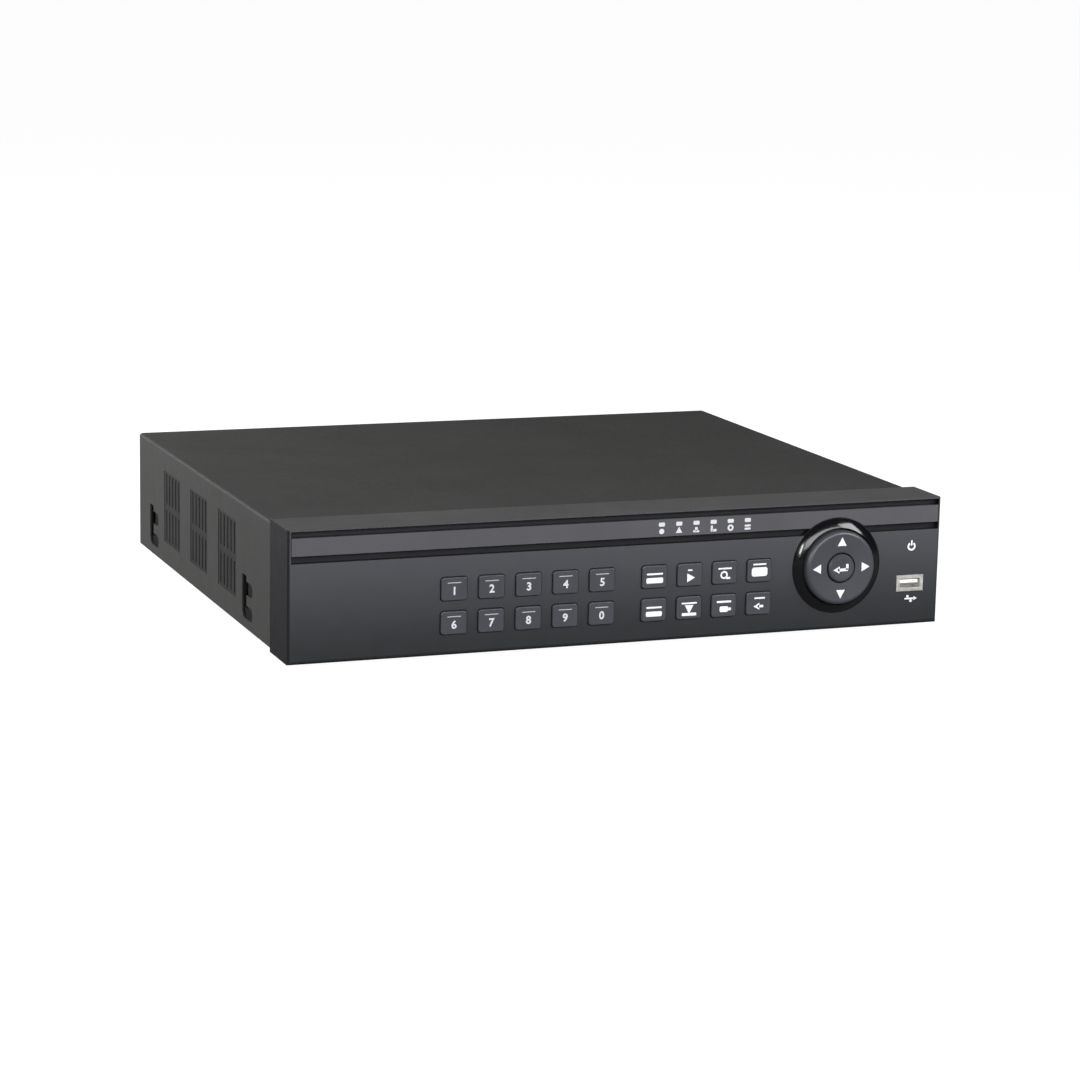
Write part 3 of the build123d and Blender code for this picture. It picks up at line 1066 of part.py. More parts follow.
# ---------------------------------------------------------------- screws and feet
with BuildPart() as panel_screws:
    for x, z in BOSS_PLACES:
        rod(SCREW_RADIUS, x, (BEZEL_FACE + 3, FRONT_BOARD_BACK), z)
        rod(SCREW_HEAD_RADIUS, x, (FRONT_BOARD_BACK, FRONT_BOARD_BACK + SCREW_HEAD_HEIGHT), z)
        rod(0.9, x, (FRONT_BOARD_BACK + 1, FRONT_BOARD_BACK + 3), z, Mode.SUBTRACT)
save(panel_screws, "panel_screws")

with BuildPart() as case_screws:
    wall_back = CASE_FRONT + SHEET
    for x, z in FIXING_PLACES:
        rod(SCREW_RADIUS, x, (BEZEL_DEPTH - 8, wall_back), z)
        rod(SCREW_HEAD_RADIUS, x, (wall_back, wall_back + SCREW_HEAD_HEIGHT), z)
    for x in COVER_FIXINGS:
        rod(SCREW_RADIUS, x, (PANEL_FRONT - 4, CASE_DEPTH), COVER_FIXING_Z)
        rod(SCREW_HEAD_RADIUS, x, (CASE_DEPTH, CASE_DEPTH + SCREW_HEAD_HEIGHT), COVER_FIXING_Z)
        rod(0.9, x, (CASE_DEPTH + 1, CASE_DEPTH + 3), COVER_FIXING_Z, Mode.SUBTRACT)
    for x in around(INLET_X, INLET_HOLE_SPACING):
        rod(SCREW_RADIUS, x, (PANEL_FRONT - 4, INLET_FACE), INLET_Z)
        rod(SCREW_HEAD_RADIUS, x, (INLET_FACE, INLET_FACE + SCREW_HEAD_HEIGHT), INLET_Z)
        rod(0.9, x, (INLET_FACE + 1, INLET_FACE + 3), INLET_Z, Mode.SUBTRACT)
    for x in around(FAN_X, FAN_HOLE_SPACING):
        for z in around(FAN_Z, FAN_HOLE_SPACING):
            rod(SCREW_RADIUS, x, (FAN_DEPTHS[0] + 1, PANEL_BACK), z)
            rod(SCREW_HEAD_RADIUS, x, (PANEL_BACK, PANEL_BACK + SCREW_HEAD_HEIGHT), z)
            rod(0.9, x, (PANEL_BACK + 1, PANEL_BACK + 3), z, Mode.SUBTRACT)
    for x, depth in BOARD_POSTS:
        post(SCREW_RADIUS, x, depth, (FLOOR_TOP + 1.2, BOARD_TOP))
        post(SCREW_HEAD_RADIUS, x, depth, (BOARD_TOP, BOARD_TOP + SCREW_HEAD_HEIGHT))
    for x, depth in DRIVE_HOLES:
        post(SCREW_RADIUS, x, depth, (FOOT_HEIGHT, DRIVE_LEVELS[0] + 4))
        post(SCREW_HEAD_RADIUS, x, depth, (FOOT_HEIGHT - SCREW_HEAD_HEIGHT, FOOT_HEIGHT))
    for x, depth in FOOT_PLACES:
        post(SCREW_RADIUS, x, depth, (FOOT_HEIGHT - 2, FLOOR_TOP + 4))
        post(SCREW_HEAD_RADIUS, x, depth, (FOOT_HEIGHT - 2 - SCREW_HEAD_HEIGHT, FOOT_HEIGHT - 2))
save(case_screws, "case_screws")

with BuildPart() as rubber_feet:
    for x, depth in FOOT_PLACES:
        post(FOOT_RADIUS, x, depth, (0, FOOT_HEIGHT))
    lower_rims = rubber_feet.faces().filter_by(Axis.Z).group_by(Axis.Z)[0].edges()
    fillet(lower_rims, 1.2)
    for x, depth in FOOT_PLACES:
        post(SCREW_HEAD_RADIUS + 0.6, x, depth, (-1, FOOT_HEIGHT - 2), Mode.SUBTRACT)
        post(SCREW_RADIUS + SCREW_HOLE_GAP, x, depth, (-1, FOOT_HEIGHT + 1), Mode.SUBTRACT)
save(rubber_feet, "rubber_feet")
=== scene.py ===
import json
import math
import bmesh
import bpy
from mathutils import Matrix, Vector


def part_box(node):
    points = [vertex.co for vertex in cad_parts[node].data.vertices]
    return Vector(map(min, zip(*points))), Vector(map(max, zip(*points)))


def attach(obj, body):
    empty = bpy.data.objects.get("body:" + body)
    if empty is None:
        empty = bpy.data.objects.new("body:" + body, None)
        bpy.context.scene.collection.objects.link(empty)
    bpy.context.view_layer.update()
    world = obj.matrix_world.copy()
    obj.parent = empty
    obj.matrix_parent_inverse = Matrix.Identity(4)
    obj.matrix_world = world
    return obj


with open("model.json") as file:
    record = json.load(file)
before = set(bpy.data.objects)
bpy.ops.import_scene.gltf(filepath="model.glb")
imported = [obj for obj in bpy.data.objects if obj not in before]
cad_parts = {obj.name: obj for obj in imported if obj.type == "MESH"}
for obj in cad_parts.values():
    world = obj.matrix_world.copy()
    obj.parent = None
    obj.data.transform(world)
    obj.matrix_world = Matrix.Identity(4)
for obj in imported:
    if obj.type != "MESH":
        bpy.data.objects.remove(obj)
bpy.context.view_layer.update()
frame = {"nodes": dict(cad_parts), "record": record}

NODES = frame["nodes"]
RECORD = frame["record"]
MM = 0.001
CASE = "recorder_case"

# Camera: where it stands as seen from the middle of the case, and how it is framed.
VIEW_AZIMUTH = math.radians(-20.955)
VIEW_ELEVATION = math.radians(11.353)
VIEW_ROLL = math.radians(1.171)
VIEW_DISTANCE = 1.847
VIEW_SHIFT_RIGHT = 0.01216
VIEW_SHIFT_UP = 0.02483
VIEW_LENS = 104.13
SENSOR_WIDTH = 36.0
HALF_DEPTH = 0.16435

# Room: how bright it is near the horizon and overhead, and how pale the floor looks.
ROOM_LOW = 0.2
ROOM_HIGH = 0.7
RISE_START = 0.1
RISE_END = 0.9
FLOOR_GREY = 0.2
FLOOR_LIFT = 0.97


# ---------------------------------------------------------------- materials
def node_tree(name):
    """A new node material with its nodes, links, shader and object coordinate."""
    material = bpy.data.materials.new(name)
    material.use_nodes = True
    nodes = material.node_tree.nodes
    links = material.node_tree.links
    shader = nodes["Principled BSDF"]
    place = nodes.new("ShaderNodeTexCoord")
    return material, nodes, links, shader, place.outputs["Object"]


def noise(nodes, links, place, scale, detail=3.0, stretch=None):
    """A noise texture; scale is in features per metre, stretch squeezes it along the axes."""
    texture = nodes.new("ShaderNodeTexNoise")
    texture.inputs["Scale"].default_value = scale
    texture.inputs["Detail"].default_value = detail
    if stretch:
        mapping = nodes.new("ShaderNodeMapping")
        mapping.inputs["Scale"].default_value = stretch
        links.new(place, mapping.inputs["Vector"])
        place = mapping.outputs["Vector"]
    links.new(place, texture.inputs["Vector"])
    return texture.outputs["Fac"]


def spread(nodes, links, value, low, high):
    """The value mapped from its usual middle range to low..high."""
    ranger = nodes.new("ShaderNodeMapRange")
    ranger.inputs["From Min"].default_value = 0.3
    ranger.inputs["From Max"].default_value = 0.7
    ranger.inputs["To Min"].default_value = low
    ranger.inputs["To Max"].default_value = high
    links.new(value, ranger.inputs["Value"])
    return ranger.outputs["Result"]


def tinted(nodes, links, factor, first, second):
    """A colour that runs from first to second with the factor."""
    mixer = nodes.new("ShaderNodeMix")
    mixer.data_type = "RGBA"
    mixer.inputs["A"].default_value = (*first, 1)
    mixer.inputs["B"].default_value = (*second, 1)
    links.new(factor, mixer.inputs["Factor"])
    return mixer.outputs["Result"]


def mask(nodes, links, vector, axis, start, end):
    """0 before start and 1 past end, along one axis of a place or a normal."""
    split = nodes.new("ShaderNodeSeparateXYZ")
    links.new(vector, split.inputs["Vector"])
    ramp = nodes.new("ShaderNodeMapRange")
    ramp.interpolation_type = "SMOOTHSTEP"
    ramp.inputs["From Min"].default_value = start
    ramp.inputs["From Max"].default_value = end
    links.new(split.outputs[axis], ramp.inputs["Value"])
    return ramp.outputs["Result"]


def product(nodes, links, first, second):
    """Two values multiplied."""
    maths = nodes.new("ShaderNodeMath")
    maths.operation = "MULTIPLY"
    links.new(first, maths.inputs[0])
    links.new(second, maths.inputs[1])
    return maths.outputs["Value"]


def blended(nodes, links, factor, first, second):
    """A colour that is first where the factor is 0 and second where it is 1; each is a socket."""
    mixer = nodes.new("ShaderNodeMix")
    mixer.data_type = "RGBA"
    links.new(factor, mixer.inputs["Factor"])
    links.new(first, mixer.inputs["A"])
    links.new(second, mixer.inputs["B"])
    return mixer.outputs["Result"]


def scaled(colour, factor):
    """A colour made darker or lighter."""
    return tuple(channel * factor for channel in colour)


COAT_ROUGHNESS = 0.08


def finish_material(
    name,
    colour,
    rough,
    grain=1500.0,
    depth=0.03,
    variation=0.08,
    rough_change=0.05,
    metallic=0.0,
    specular=0.5,
    coat=0.0,
    patch=18.0,
    stretch=None,
):
    """A surface with slow colour change, uneven gloss and a fine grain."""
    material, nodes, links, shader, place = node_tree(name)
    slow = spread(nodes, links, noise(nodes, links, place, patch, 4.0), 0.0, 1.0)
    base = tinted(nodes, links, slow, scaled(colour, 1 - variation), scaled(colour, 1 + variation))
    links.new(base, shader.inputs["Base Color"])
    uneven = noise(nodes, links, place, patch * 5, 3.0)
    links.new(
        spread(nodes, links, uneven, rough - rough_change, rough + rough_change), shader.inputs["Roughness"]
    )
    bump = nodes.new("ShaderNodeBump")
    bump.inputs["Strength"].default_value = depth
    bump.inputs["Distance"].default_value = MM
    links.new(noise(nodes, links, place, grain, 2.0, stretch), bump.inputs["Height"])
    links.new(bump.outputs["Normal"], shader.inputs["Normal"])
    shader.inputs["Metallic"].default_value = metallic
    shader.inputs["Specular IOR Level"].default_value = specular
    shader.inputs["Coat Weight"].default_value = coat
    shader.inputs["Coat Roughness"].default_value = COAT_ROUGHNESS
    return material


COVER_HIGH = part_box("top_cover")[1]
PANEL_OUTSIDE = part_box("rear_panel")[1].y
BEZEL_LOW, BEZEL_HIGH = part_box("front_bezel")
BEZEL_TALL = BEZEL_HIGH.z - BEZEL_LOW.z

COVER_GREY = (0.0465, 0.0465, 0.0455)
# Black paint made near-black as painted shade, so the openings in the sides read dark.
CHASSIS_BLACK_AND_SHADE = (0.004, 0.004, 0.004)
STRIP_SMOKE = (0.061, 0.061, 0.068)
# Bezel front: painted shade darkens it from the high colour at the top to the low colour at the bottom.
BEZEL_FRONT_SHADED_LOW = (0.0135, 0.0152, 0.0170)
BEZEL_FRONT_LIT_HIGH = (0.0435, 0.0453, 0.0515)
# Dark plastic darkened as painted shade, for the bezel sides, the grooves and the strip's edges.
BEZEL_SIDE_AND_GROOVE_SHADE = (0.006, 0.006, 0.008)
# A painted highlight for the bezel's upward faces.
BEZEL_TOP_HIGHLIGHT = (0.080, 0.080, 0.082)

# Where a second colour starts and where it is complete, measured in from an outer face: painted shade in the
# bezel grooves and the vents, a painted highlight on the bezel top, and the back panel's paint.
GROOVE_SHADE_INSET = (0.35 * MM, 0.7 * MM)
TOP_HIGHLIGHT_BAND = (1.2 * MM, 0.9 * MM)
PANEL_PAINT = (0.8 * MM, 0.4 * MM)
# Inset and top limit of the painted shade in the side vent panels.
VENT_SHADE_INSET = (0.15 * MM, 0.35 * MM)
VENT_SHADE_TOP = (4.0 * MM, 5.0 * MM)
# Share of the bezel height over which the front's painted shade runs.
FRONT_SHADE_SHARE = 0.85


def opened(material):
    """A material's nodes, links and shader, a place and a normal, and its present base colour."""
    nodes = material.node_tree.nodes
    links = material.node_tree.links
    shader = nodes["Principled BSDF"]
    where = nodes.new("ShaderNodeTexCoord")
    colour = shader.inputs["Base Color"].links[0].from_socket
    return nodes, links, shader, where.outputs["Object"], where.outputs["Normal"], colour


def shaded(nodes, links, place, colour, low, high, scale, detail, stretch=None):
    """A colour that wanders between two shares of itself."""
    wander = spread(nodes, links, noise(nodes, links, place, scale, detail, stretch), 0.0, 1.0)
    return tinted(nodes, links, wander, scaled(colour, low), scaled(colour, high))


def bezel_finish():
    """Moulded plastic: a lighter front that darkens downwards as painted shade, sides and grooves darkened
    as painted shade, and a painted highlight on the top.
    """
    material = finish_material(
        "bezel_plastic",
        BEZEL_SIDE_AND_GROOVE_SHADE,
        0.46,
        grain=3200,
        depth=0.05,
        variation=0.05,
        rough_change=0.04,
        specular=0.22,
    )
    nodes, links, shader, place, normal, side = opened(material)
    # Painted highlight: upward faces near the top of the bezel are lightened in colour.
    top = shaded(nodes, links, place, BEZEL_TOP_HIGHLIGHT, 0.9, 1.1, 14.0, 4.0)
    # Painted shade: the front colour darkens towards the bottom of the bezel.
    height = mask(nodes, links, place, "Z", BEZEL_LOW.z, BEZEL_LOW.z + FRONT_SHADE_SHARE * BEZEL_TALL)
    front = tinted(nodes, links, height, BEZEL_FRONT_SHADED_LOW, BEZEL_FRONT_LIT_HIGH)
    near_top_highlight = mask(nodes, links, place, "Z", *[BEZEL_HIGH.z - drop for drop in TOP_HIGHLIGHT_BAND])
    faces_up_highlight = product(nodes, links, mask(nodes, links, normal, "Z", 0.55, 0.9), near_top_highlight)
    # Painted shade: faces turned away from the front take the dark side colour.
    turned_from_front_shade = mask(nodes, links, normal, "Y", -0.9, -0.6)
    # Painted shade: grooves set in behind the front face take the dark side colour.
    set_in_shade = mask(nodes, links, place, "Y", *[BEZEL_LOW.y + depth for depth in GROOVE_SHADE_INSET])
    outer = blended(nodes, links, set_in_shade, front, side)
    base = blended(nodes, links, turned_from_front_shade, outer, side)
    links.new(blended(nodes, links, faces_up_highlight, base, top), shader.inputs["Base Color"])
    return material


def strip_finish():
    """Smoked acrylic whose upper and lower edges in the grooves are darkened as painted shade."""
    material = finish_material(
        "strip_plastic", STRIP_SMOKE, 0.14, grain=900, depth=0.004, variation=0.1, coat=0.5
    )
    nodes, links, shader, place, normal, smoke = opened(material)
    # Painted shade: faces turned away from the front take a darkened side colour.
    edge = shaded(nodes, links, place, BEZEL_SIDE_AND_GROOVE_SHADE, 0.5, 0.8, 90.0, 4.0)
    faces_front = mask(nodes, links, normal, "Y", -0.5, -0.8)
    links.new(blended(nodes, links, faces_front, edge, smoke), shader.inputs["Base Color"])
    return material


def chassis_finish():
    """Black paint inside the case, made near-black as painted shade behind the side openings, and the
    cover's dark grey on the back panel.
    """
    material = finish_material(
        "chassis_paint", CHASSIS_BLACK_AND_SHADE, 0.6, grain=2400, depth=0.12, variation=0.08, specular=0.15
    )
    nodes, links, shader, place, _, paint = opened(material)
    panel_paint = shaded(nodes, links, place, COVER_GREY, 0.55, 0.68, 60.0, 6.0)
    at_back = mask(nodes, links, place, "Y", *[PANEL_OUTSIDE - depth for depth in PANEL_PAINT])
    links.new(blended(nodes, links, at_back, paint, panel_paint), shader.inputs["Base Color"])
    return material


def cover_finish():
    """Powder coat with faint scuffs, darkened as painted shade inside the shallow vent panels of the sides.
    """
    material = finish_material(
        "cover_paint", COVER_GREY, 0.66, grain=2600, depth=0.16, variation=0.06, specular=0.12
    )
    nodes, links, shader, place, _, paint = opened(material)
    # Painted shade: the set-in vent panels take a darker share of the cover grey.
    vent_shade = shaded(nodes, links, place, COVER_GREY, 0.50, 0.62, 70.0, 8.0, (1.0, 0.12, 1.0))
    half = COVER_HIGH.x
    right = mask(nodes, links, place, "X", *[half - depth for depth in VENT_SHADE_INSET])
    left = mask(nodes, links, place, "X", *[-half + depth for depth in VENT_SHADE_INSET])
    below = mask(nodes, links, place, "Z", *[COVER_HIGH.z - drop for drop in VENT_SHADE_TOP])
    set_in_shade = product(nodes, links, product(nodes, links, left, right), below)
    links.new(blended(nodes, links, set_in_shade, paint, vent_shade), shader.inputs["Base Color"])
    return material


MATERIALS = {
    "cover_paint": cover_finish(),
    "chassis_paint": chassis_finish(),
    "bezel_plastic": bezel_finish(),
    "strip_plastic": strip_finish(),
    "ring_plastic": finish_material(
        "ring_plastic",
        (0.003, 0.003, 0.004),
        0.16,
        grain=900,
        depth=0.005,
        variation=0.1,
        coat=0.12,
        specular=0.3,
    ),
    "key_plastic": finish_material(
        "key_plastic",
        (0.036, 0.038, 0.045),
        0.36,
        grain=3600,
        depth=0.05,
        variation=0.06,
        rough_change=0.04,
        specular=0.4,
    ),
    "foot_rubber": finish_material("foot_rubber", (0.012, 0.012, 0.012), 0.8, grain=2600, depth=0.2),
    "screw_steel": finish_material(
        "screw_steel", (0.30, 0.30, 0.31), 0.34, grain=2800, depth=0.06, metallic=1.0, patch=120
    ),
    "nickel": finish_material(
        "nickel", (0.86, 0.85, 0.82), 0.36, grain=2400, depth=0.04, metallic=1.0, patch=90, rough_change=0.08
    ),
    "circuit_board": finish_material(
        "circuit_board", (0.012, 0.085, 0.040), 0.38, grain=700, depth=0.08, variation=0.25, patch=160
    ),
    "chip_plastic": finish_material("chip_plastic", (0.02, 0.02, 0.02), 0.5, grain=3000, depth=0.1),
    "heat_sink_metal": finish_material(
        "heat_sink_metal",
        (0.45, 0.46, 0.48),
        0.36,
        grain=2200,
        depth=0.08,
        metallic=1.0,
        stretch=(1, 0.05, 1),
    ),
    "drive_casting": finish_material(
        "drive_casting", (0.40, 0.41, 0.42), 0.42, grain=1400, depth=0.14, metallic=1.0, patch=60
    ),
    "standoff_brass": finish_material("standoff_brass", (0.62, 0.45, 0.16), 0.3, depth=0.05, metallic=1.0),
    "black_plastic": finish_material("black_plastic", (0.012, 0.012, 0.013), 0.45, grain=3000, depth=0.08),
    "white_plastic": finish_material("white_plastic", (0.72, 0.72, 0.70), 0.4, grain=2600, depth=0.04),
    "green_plastic": finish_material("green_plastic", (0.03, 0.28, 0.09), 0.4, grain=2600, depth=0.05),
    "clear_plastic": finish_material("clear_plastic", (0.75, 0.78, 0.82), 0.12, grain=900, depth=0.01),
    "cable_sheath": finish_material("cable_sheath", (0.03, 0.03, 0.035), 0.5, grain=1800, depth=0.1),
}
PRINT_WHITE = finish_material("print_white", (0.62, 0.63, 0.65), 0.5, grain=3000, depth=0.05, variation=0.04)
PRINT_GREY = finish_material("print_grey", (0.30, 0.31, 0.33), 0.5, grain=3000, depth=0.05, variation=0.06)
PRINT_DIGIT = finish_material("print_digit", (0.46, 0.47, 0.50), 0.5, grain=3000, depth=0.05, variation=0.05)
RING_WHITE = finish_material("ring_white", (0.62, 0.62, 0.60), 0.35, grain=2600, depth=0.04)
RING_RED = finish_material("ring_red", (0.42, 0.015, 0.012), 0.35, grain=2600, depth=0.04)

for subpart in RECORD["subparts"]:
    node = NODES[subpart["node"]]
    node.data.materials.clear()
    node.data.materials.append(MATERIALS[subpart["material_slot"]])


# ---------------------------------------------------------------- flat symbols
ROUND_STEPS = 28
PRINT_LIFT = 0.02 * MM
FONT_SIZE_SHARE = 1.38


def bar(width, height, x=0.0, z=0.0):
    """A flat bar with clipped corners."""
    w, h = width / 2, height / 2
    c = min(w, h) * 0.35
    lower = [(-w + c, -h), (w - c, -h), (w, -h + c)]
    upper = [(w, h - c), (w - c, h), (-w + c, h), (-w, h - c)]
    outline = [*lower, *upper, (-w, -h + c)]
    return [[(px + x, pz + z) for px, pz in outline]]


def disc(radius, x=0.0, z=0.0):
    """A flat round spot."""
    turns = [2 * math.pi * i / ROUND_STEPS for i in range(ROUND_STEPS)]
    return [[(x + radius * math.cos(turn), z + radius * math.sin(turn)) for turn in turns]]


def ring(inner, outer, x=0.0, z=0.0, start=0.0, turn=360.0):
    """A ring, or part of one, as a row of four-sided pieces."""
    pieces = []
    for i in range(ROUND_STEPS):
        a = math.radians(start + turn * i / ROUND_STEPS)
        b = math.radians(start + turn * (i + 1) / ROUND_STEPS)
        pieces.append(
            [
                (x + inner * math.cos(a), z + inner * math.sin(a)),
                (x + outer * math.cos(a), z + outer * math.sin(a)),
                (x + outer * math.cos(b), z + outer * math.sin(b)),
                (x + inner * math.cos(b), z + inner * math.sin(b)),
            ]
        )
    return pieces


def arrow(size, degrees, x=0.0, z=0.0):
    """A triangle that points along the given direction."""
    corners = [(size * 0.62, 0), (-size * 0.42, size * 0.56), (-size * 0.42, -size * 0.56)]
    c, s = math.cos(math.radians(degrees)), math.sin(math.radians(degrees))
    return [[(x + px * c - pz * s, z + px * s + pz * c) for px, pz in corners]]


def printed(name, shape, centre, material, body, thickness=0.12, facing=-1):
    """Thin raised print: outlines in millimetres about the centre, on a face that looks along Y."""
    mesh = bmesh.new()
    for outline in shape:
        front = [mesh.verts.new((px * MM, facing * PRINT_LIFT, pz * MM)) for px, pz in outline]
        back = [mesh.verts.new((px * MM, -facing * thickness * MM, pz * MM)) for px, pz in outline]
        mesh.faces.new(front)
        mesh.faces.new(list(reversed(back)))
        for i in range(len(outline)):
            j = (i + 1) % len(outline)
            mesh.faces.new((front[i], back[i], back[j], front[j]))
    bmesh.ops.remove_doubles(mesh, verts=mesh.verts, dist=1e-7)
    inner_walls = [face for face in mesh.faces if all(len(edge.link_faces) > 2 for edge in face.edges)]
    bmesh.ops.delete(mesh, geom=inner_walls, context="FACES_ONLY")
    bmesh.ops.recalc_face_normals(mesh, faces=mesh.faces)
    data = bpy.data.meshes.new(name)
    mesh.to_mesh(data)
    mesh.free()
    return placed(name, data, centre, material, body)


def placed(name, data, centre, material, body):
    """A visible piece with its mesh, material, body and slot."""
    data.materials.clear()
    data.materials.append(material)
    piece = bpy.data.objects.new(name, data)
    bpy.context.scene.collection.objects.link(piece)
    piece.location = centre
    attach(piece, body)
    return piece


def lettered(name, text, height, centre, material, body, facing=-1, weight=0.0):
    """Digits as thin raised print on a face that looks along Y."""
    curve = bpy.data.curves.new(name, "FONT")
    curve.body = text
    curve.align_x = "CENTER"
    curve.align_y = "CENTER"
    curve.size = height * MM * FONT_SIZE_SHARE
    curve.offset = weight * MM
    curve.extrude = 0.05 * MM
    curve.resolution_u = 3
    maker = bpy.data.objects.new(name + "_maker", curve)
    bpy.context.scene.collection.objects.link(maker)
    bpy.context.view_layer.update()
    data = bpy.data.meshes.new_from_object(maker.evaluated_get(bpy.context.evaluated_depsgraph_get()))
    bpy.data.objects.remove(maker)
    turn = Matrix.Rotation(math.radians(90), 4, "X")
    if facing > 0:
        turn = Matrix.Rotation(math.radians(180), 4, "Z") @ turn
    data.transform(turn)
    data.name = name
    return placed(name, data, centre, material, body)


# ---------------------------------------------------------------- key legends
KEY_SYMBOLS = {
    "key_menu": bar(9.4, 1.0, 0, 1.6) + bar(9.8, 3.0, 0, -2.0),
    "key_play": bar(2.6, 0.8, 0, 2.6) + arrow(4.4, 0, 0.2, -1.6),
    "key_search": bar(8.0, 0.9, 0, 2.4) + ring(1.3, 2.2, -0.5, -1.2) + bar(2.6, 1.1, 1.9, -3.0),
    "key_record": bar(8.0, 0.9, 0, 3.6) + bar(9.4, 5.0, 0, -0.6),
    "key_info": bar(9.0, 1.0, 0, 1.4) + bar(9.4, 2.8, 0, -2.2),
    "key_backup": bar(9.0, 0.9, 0, 2.6) + arrow(4.6, -90, 0, -0.4) + bar(8.6, 1.6, 0, -3.6),
    "key_camera": bar(8.6, 1.1, 0, 2.2) + bar(5.0, 3.2, 0, -2.0) + bar(1.6, 1.6, 3.4, -2.0),
    "key_escape": bar(6.4, 0.9, 0.6, 3.0) + arrow(3.4, 180, -0.9, -1.6) + bar(3.4, 1.4, 1.2, -1.6),
}


def cap_middle(key):
    """The middle of a key cap's front face."""
    low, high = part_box(key)
    return Vector(((low.x + high.x) / 2, low.y, (low.z + high.z) / 2))


DIGIT_HEIGHT = 4.4
DIGIT_WEIGHT = 0.16
DIGIT_OFFSET = Vector((0, -0.03, -1.2)) * MM
DIGIT_LINE = bar(7.6, 0.5, 0, 3.4)
for digit in "1234567890":
    key = f"key_{digit}"
    centre = cap_middle(key)
    spot = centre + DIGIT_OFFSET
    lettered(f"legend_{digit}", digit, DIGIT_HEIGHT, spot, PRINT_DIGIT, key, weight=DIGIT_WEIGHT)
    printed(f"legend_line_{digit}", DIGIT_LINE, centre, PRINT_GREY, key)

for key, symbol in KEY_SYMBOLS.items():
    printed("legend" + key[3:], symbol, cap_middle(key), PRINT_WHITE, key)

# ---------------------------------------------------------------- round pad legends
disc_low, disc_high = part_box("nav_disc")
pad = Vector(((disc_low.x + disc_high.x) / 2, disc_low.y, (disc_low.z + disc_high.z) / 2))
MARK_RADIUS = 14.4
MARK_DROP = 0.05
MARK_SIZE = 4.6
ENTER_MARK_DROP = 0.03 * MM
for word, degrees in (("right", 0), ("up", 90), ("left", 180), ("down", -90)):
    c, s = math.cos(math.radians(degrees)), math.sin(math.radians(degrees))
    centre = pad + Vector((MARK_RADIUS * c, MARK_DROP, MARK_RADIUS * s)) * MM
    printed(f"pad_arrow_{word}", arrow(MARK_SIZE, degrees), centre, PRINT_WHITE, "nav_disc", thickness=0.6)
enter_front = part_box("enter_button")[0].y
enter = Vector((pad.x, enter_front + ENTER_MARK_DROP, pad.z))
enter_mark = bar(6.4, 1.5, 0.6, -0.9) + bar(1.5, 3.4, 3.2, 0.6) + arrow(3.6, 180, -3.0, -0.9)
printed("enter_mark", enter_mark, enter, PRINT_WHITE, "enter_button", thickness=0.5)

# ---------------------------------------------------------------- indicator strip
strip_low, strip_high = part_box("indicator_strip")
lamp_low, lamp_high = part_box("indicator_lamps")
LAMP_WIDTH = 3.8 * MM
strip_z = (strip_low.z + strip_high.z) / 2
INDICATORS = (
    disc(1.5, 0, -1.9),
    arrow(3.4, 90, 0, -1.8),
    bar(3.6, 1.2, 0, -2.8) + bar(1.6, 2.2, 0, -1.6),
    bar(1.3, 3.4, -1.0, -1.8) + bar(2.6, 1.3, 0.6, -2.8),
    ring(0.8, 1.8, 0, -1.9),
    bar(3.6, 1.1, 0, -1.2) + bar(3.6, 1.1, 0, -2.9),
)
LAMP_WINDOW = bar(3.6, 2.2, 0, 1.9)
lamp_step = (lamp_high.x - lamp_low.x - LAMP_WIDTH) / (len(INDICATORS) - 1)
for index, symbol in enumerate(INDICATORS):
    centre = Vector((lamp_low.x + LAMP_WIDTH / 2 + lamp_step * index, strip_low.y, strip_z))
    printed(f"indicator_{index + 1}", LAMP_WINDOW + symbol, centre, PRINT_DIGIT, CASE)

# ---------------------------------------------------------------- marks on the bezel
STANDBY_RISE = 44.8 * MM
USB_MARK_DROP = 8.9 * MM
usb_box = [v.co for v in NODES["usb_shells"].data.vertices if v.co.y < 0]
usb_x = (min(c.x for c in usb_box) + max(c.x for c in usb_box)) / 2
usb_z = (min(c.z for c in usb_box) + max(c.z for c in usb_box)) / 2
power_mark = ring(1.5, 2.5, 0, 0, start=-235, turn=290) + bar(1.0, 3.0, 0, 1.9)
standby_spot = Vector((usb_x, BEZEL_LOW.y, BEZEL_LOW.z + STANDBY_RISE))
printed("standby_mark", power_mark, standby_spot, PRINT_WHITE, CASE)
usb_mark = bar(6.0, 0.9, 0, 0) + arrow(2.0, 0, 3.4, 0) + bar(1.4, 1.4, -1.2, 1.3) + disc(0.8, 0.8, -1.3)
usb_spot = Vector((usb_x, BEZEL_LOW.y, usb_z - USB_MARK_DROP))
printed("usb_mark", usb_mark, usb_spot, PRINT_WHITE, CASE)

# ---------------------------------------------------------------- back panel print
BNC_COLUMNS = 9
BNC_WIDTH = 4.7 * MM
NUMBER_RISE = 8.2 * MM
NUMBER_HEIGHT = 2.6
bnc_low, bnc_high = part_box("bnc_insulators")
bnc_pitch = (bnc_high.x - bnc_low.x - BNC_WIDTH) / (BNC_COLUMNS - 1)
row_heights = (bnc_low.z + BNC_WIDTH / 2, bnc_high.z - BNC_WIDTH / 2)
camera_number = 0
for column in range(BNC_COLUMNS - 1):
    x = bnc_low.x + BNC_WIDTH / 2 + bnc_pitch * (BNC_COLUMNS - 1 - column)
    for z in reversed(row_heights):
        camera_number += 1
        word = str(camera_number)
        spot = Vector((x, PANEL_OUTSIDE, z + NUMBER_RISE))
        lettered(f"camera_number_{word}", word, NUMBER_HEIGHT, spot, PRINT_DIGIT, CASE, facing=1)

